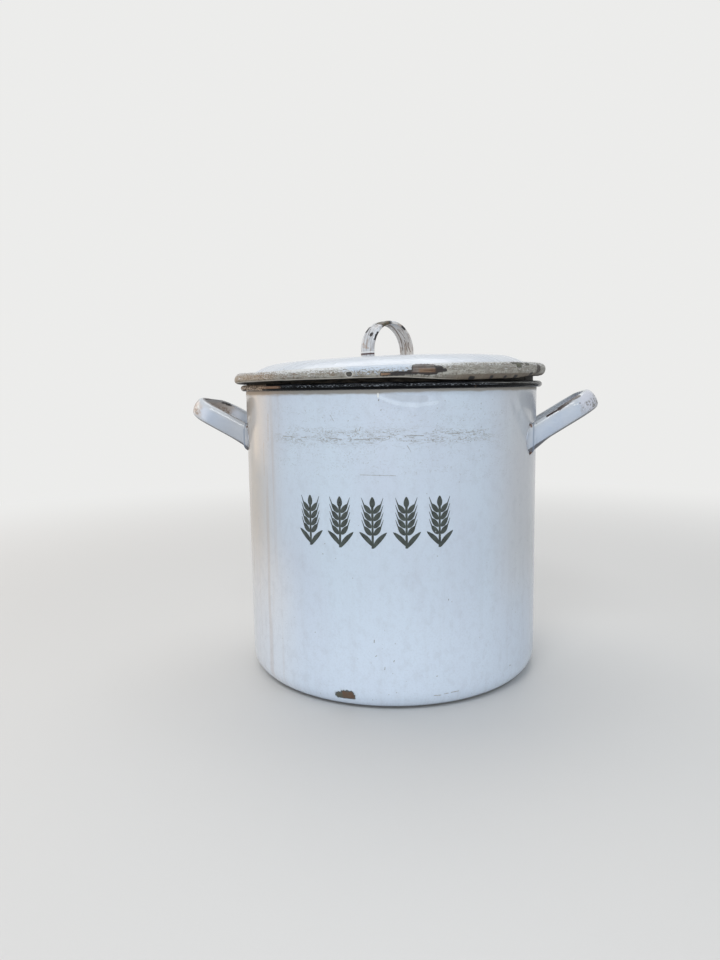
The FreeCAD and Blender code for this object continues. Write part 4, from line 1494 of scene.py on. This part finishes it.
finishPiece(binShell, makeBinEnamel(), "bin", "white_enamel", "bin_wall", "bin_base")
edgeInBlack(binShell)
gripEnamel = makeGripEnamel()
finishPiece(rightGrip, gripEnamel, "bin", "handle_enamel", "right_handle")
finishPiece(leftGrip, gripEnamel, "bin", "handle_enamel", "left_handle")
finishPiece(lidShell, makeLidEnamel(), "lid", "lid_enamel", "lid_shell")
finishPiece(lidCollar, makeCollarEnamel(), "lid", "collar_enamel", "lid_collar")
finishPiece(lidBow, makeBowEnamel(), "lid", "lid_handle_enamel", "lid_handle")
stencilEnamel = makeStencilEnamel()
for ear in wheatEars:
    finishPiece(ear, stencilEnamel, "bin", "white_enamel")
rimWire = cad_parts["bin_rim_wire"]
rimWire.data.materials.clear()
rimWire.data.materials.append(makeWireSteel())
print("materials assigned")


# studio: pale floor that fades into the background, soft lamps, camera

studio = {
    "pale": (0.84, 0.84, 0.83, 1),
    "floor": (0.72, 0.72, 0.71, 1),
    "floorGrain": (0.5, 0.5, 0.49, 1),
    "floorRough": 0.55,
    "worldLight": (0.84, 0.86, 0.89, 1),
    "worldStrength": 0.5,
    "fadeStart": 0.45,
    "fadeEnd": 1.5,
}

# name, place, aimed at, width, height, power, colour, whether a glossy surface shows it
lamps = [
    ("frontSoftbox", (0.15, -2.3, 0.45), (0, 0, 0.12), 1.6, 1.2, 20.5, (0.94, 0.97, 1.0), False),
    ("topSoftbox", (-0.1, 0.55, 1.9), (0, 0, 0.3), 1.6, 1.2, 14, (1.0, 1.0, 1.0), True),
    ("keyLamp", (-0.2, -1.35, 1.6), (0, 0, 0.25), 0.75, 0.25, 8, (1.0, 1.0, 1.0), True),
    ("leftSoftbox", (-1.9, 0.75, 0.7), (0, 0, 0.2), 1.1, 1.4, 6, (1.0, 0.76, 0.54), True),
]


def backgroundRays(tree):
    # 1 for what the camera, a reflection or glass sees, 0 for what lights the object
    rays = tree.nodes.new("ShaderNodeLightPath").outputs
    seen = Field(rays["Is Camera Ray"]) | Field(rays["Is Glossy Ray"])
    return seen | Field(rays["Is Transmission Ray"])


def makeWorld():
    world = bpy.data.worlds.new("studioWorld")
    bpy.context.scene.world = world
    world.use_nodes = True
    back = world.node_tree.nodes["Background"]
    seen = backgroundRays(world.node_tree)
    feed(mixColour(seen, studio["worldLight"], studio["pale"]), back.inputs["Color"])
    feed(mixValue(seen, studio["worldStrength"], 1.0), back.inputs["Strength"])


def makeFloor():
    deselectAll()
    bpy.ops.mesh.primitive_circle_add(vertices=96, radius=8, fill_type="NGON", location=(0, 0, 0))
    floor = newPiece("studioFloor")
    material, where, _ = newMaterial("studioFloorPaint")
    nodes = material.node_tree.nodes
    paint, glow = nodes["Principled BSDF"], nodes.new("ShaderNodeEmission")
    shade = mixColour(noise(where, 900.0, 2.0, 0.5) * 0.08, studio["floor"], studio["floorGrain"])
    feed(shade, paint.inputs["Base Color"])
    feed(studio["floorRough"], paint.inputs["Roughness"])
    feed(studio["pale"], glow.inputs["Color"])
    far = eased(vectorCalc("LENGTH", where), studio["fadeStart"], studio["fadeEnd"])
    blend = addNode("ShaderNodeMixShader", far * backgroundRays(material.node_tree),
                    Field(paint.outputs[0]), Field(glow.outputs[0]))
    feed(Field(blend.outputs[0]), nodes["Material Output"].inputs["Surface"])
    floor.data.materials.append(material)


def makeLamps():
    for name, place, target, width, height, power, tint, mirrored in lamps:
        bpy.ops.object.light_add(type="AREA", location=place)
        lamp = bpy.context.active_object
        lamp.name = name
        lamp.data.shape = "RECTANGLE"
        lamp.data.size, lamp.data.size_y = width, height
        lamp.data.energy = power
        lamp.data.color = tint
        lamp.visible_glossy = mirrored
        lamp.rotation_euler = (Vector(target) - Vector(place)).to_track_quat("-Z", "Y").to_euler()


cameraSetup = {
    "azimuth": 6.3,         # from the front towards +X
    "distance": 751.0,
    "height": 282.8,
    "pitch": 7.12,
    "yaw": 2.48,
    "roll": -0.9,
    "lens": 27.04,
}


def makeCamera():
    s = cameraSetup
    bpy.ops.object.camera_add()
    camera = bpy.context.active_object
    camera.name = "frontCamera"
    camera.data.lens = s["lens"]
    camera.data.sensor_width = 36
    camera.data.clip_start = 0.01
    around = math.radians(s["azimuth"])
    place = Vector(mm(s["distance"] * math.sin(around), -s["distance"] * math.cos(around), s["height"]))
    heading = Matrix.Rotation(around + math.radians(s["yaw"]), 4, "Z")
    pitch = Matrix.Rotation(math.radians(90 - s["pitch"]), 4, "X")
    roll = Matrix.Rotation(math.radians(s["roll"]), 4, "Z")
    camera.matrix_world = Matrix.Translation(place) @ heading @ pitch @ roll
    bpy.context.scene.camera = camera


makeWorld()
makeFloor()
makeLamps()
makeCamera()
bpy.context.scene.view_settings.view_transform = "Standard"
print("studio ready")
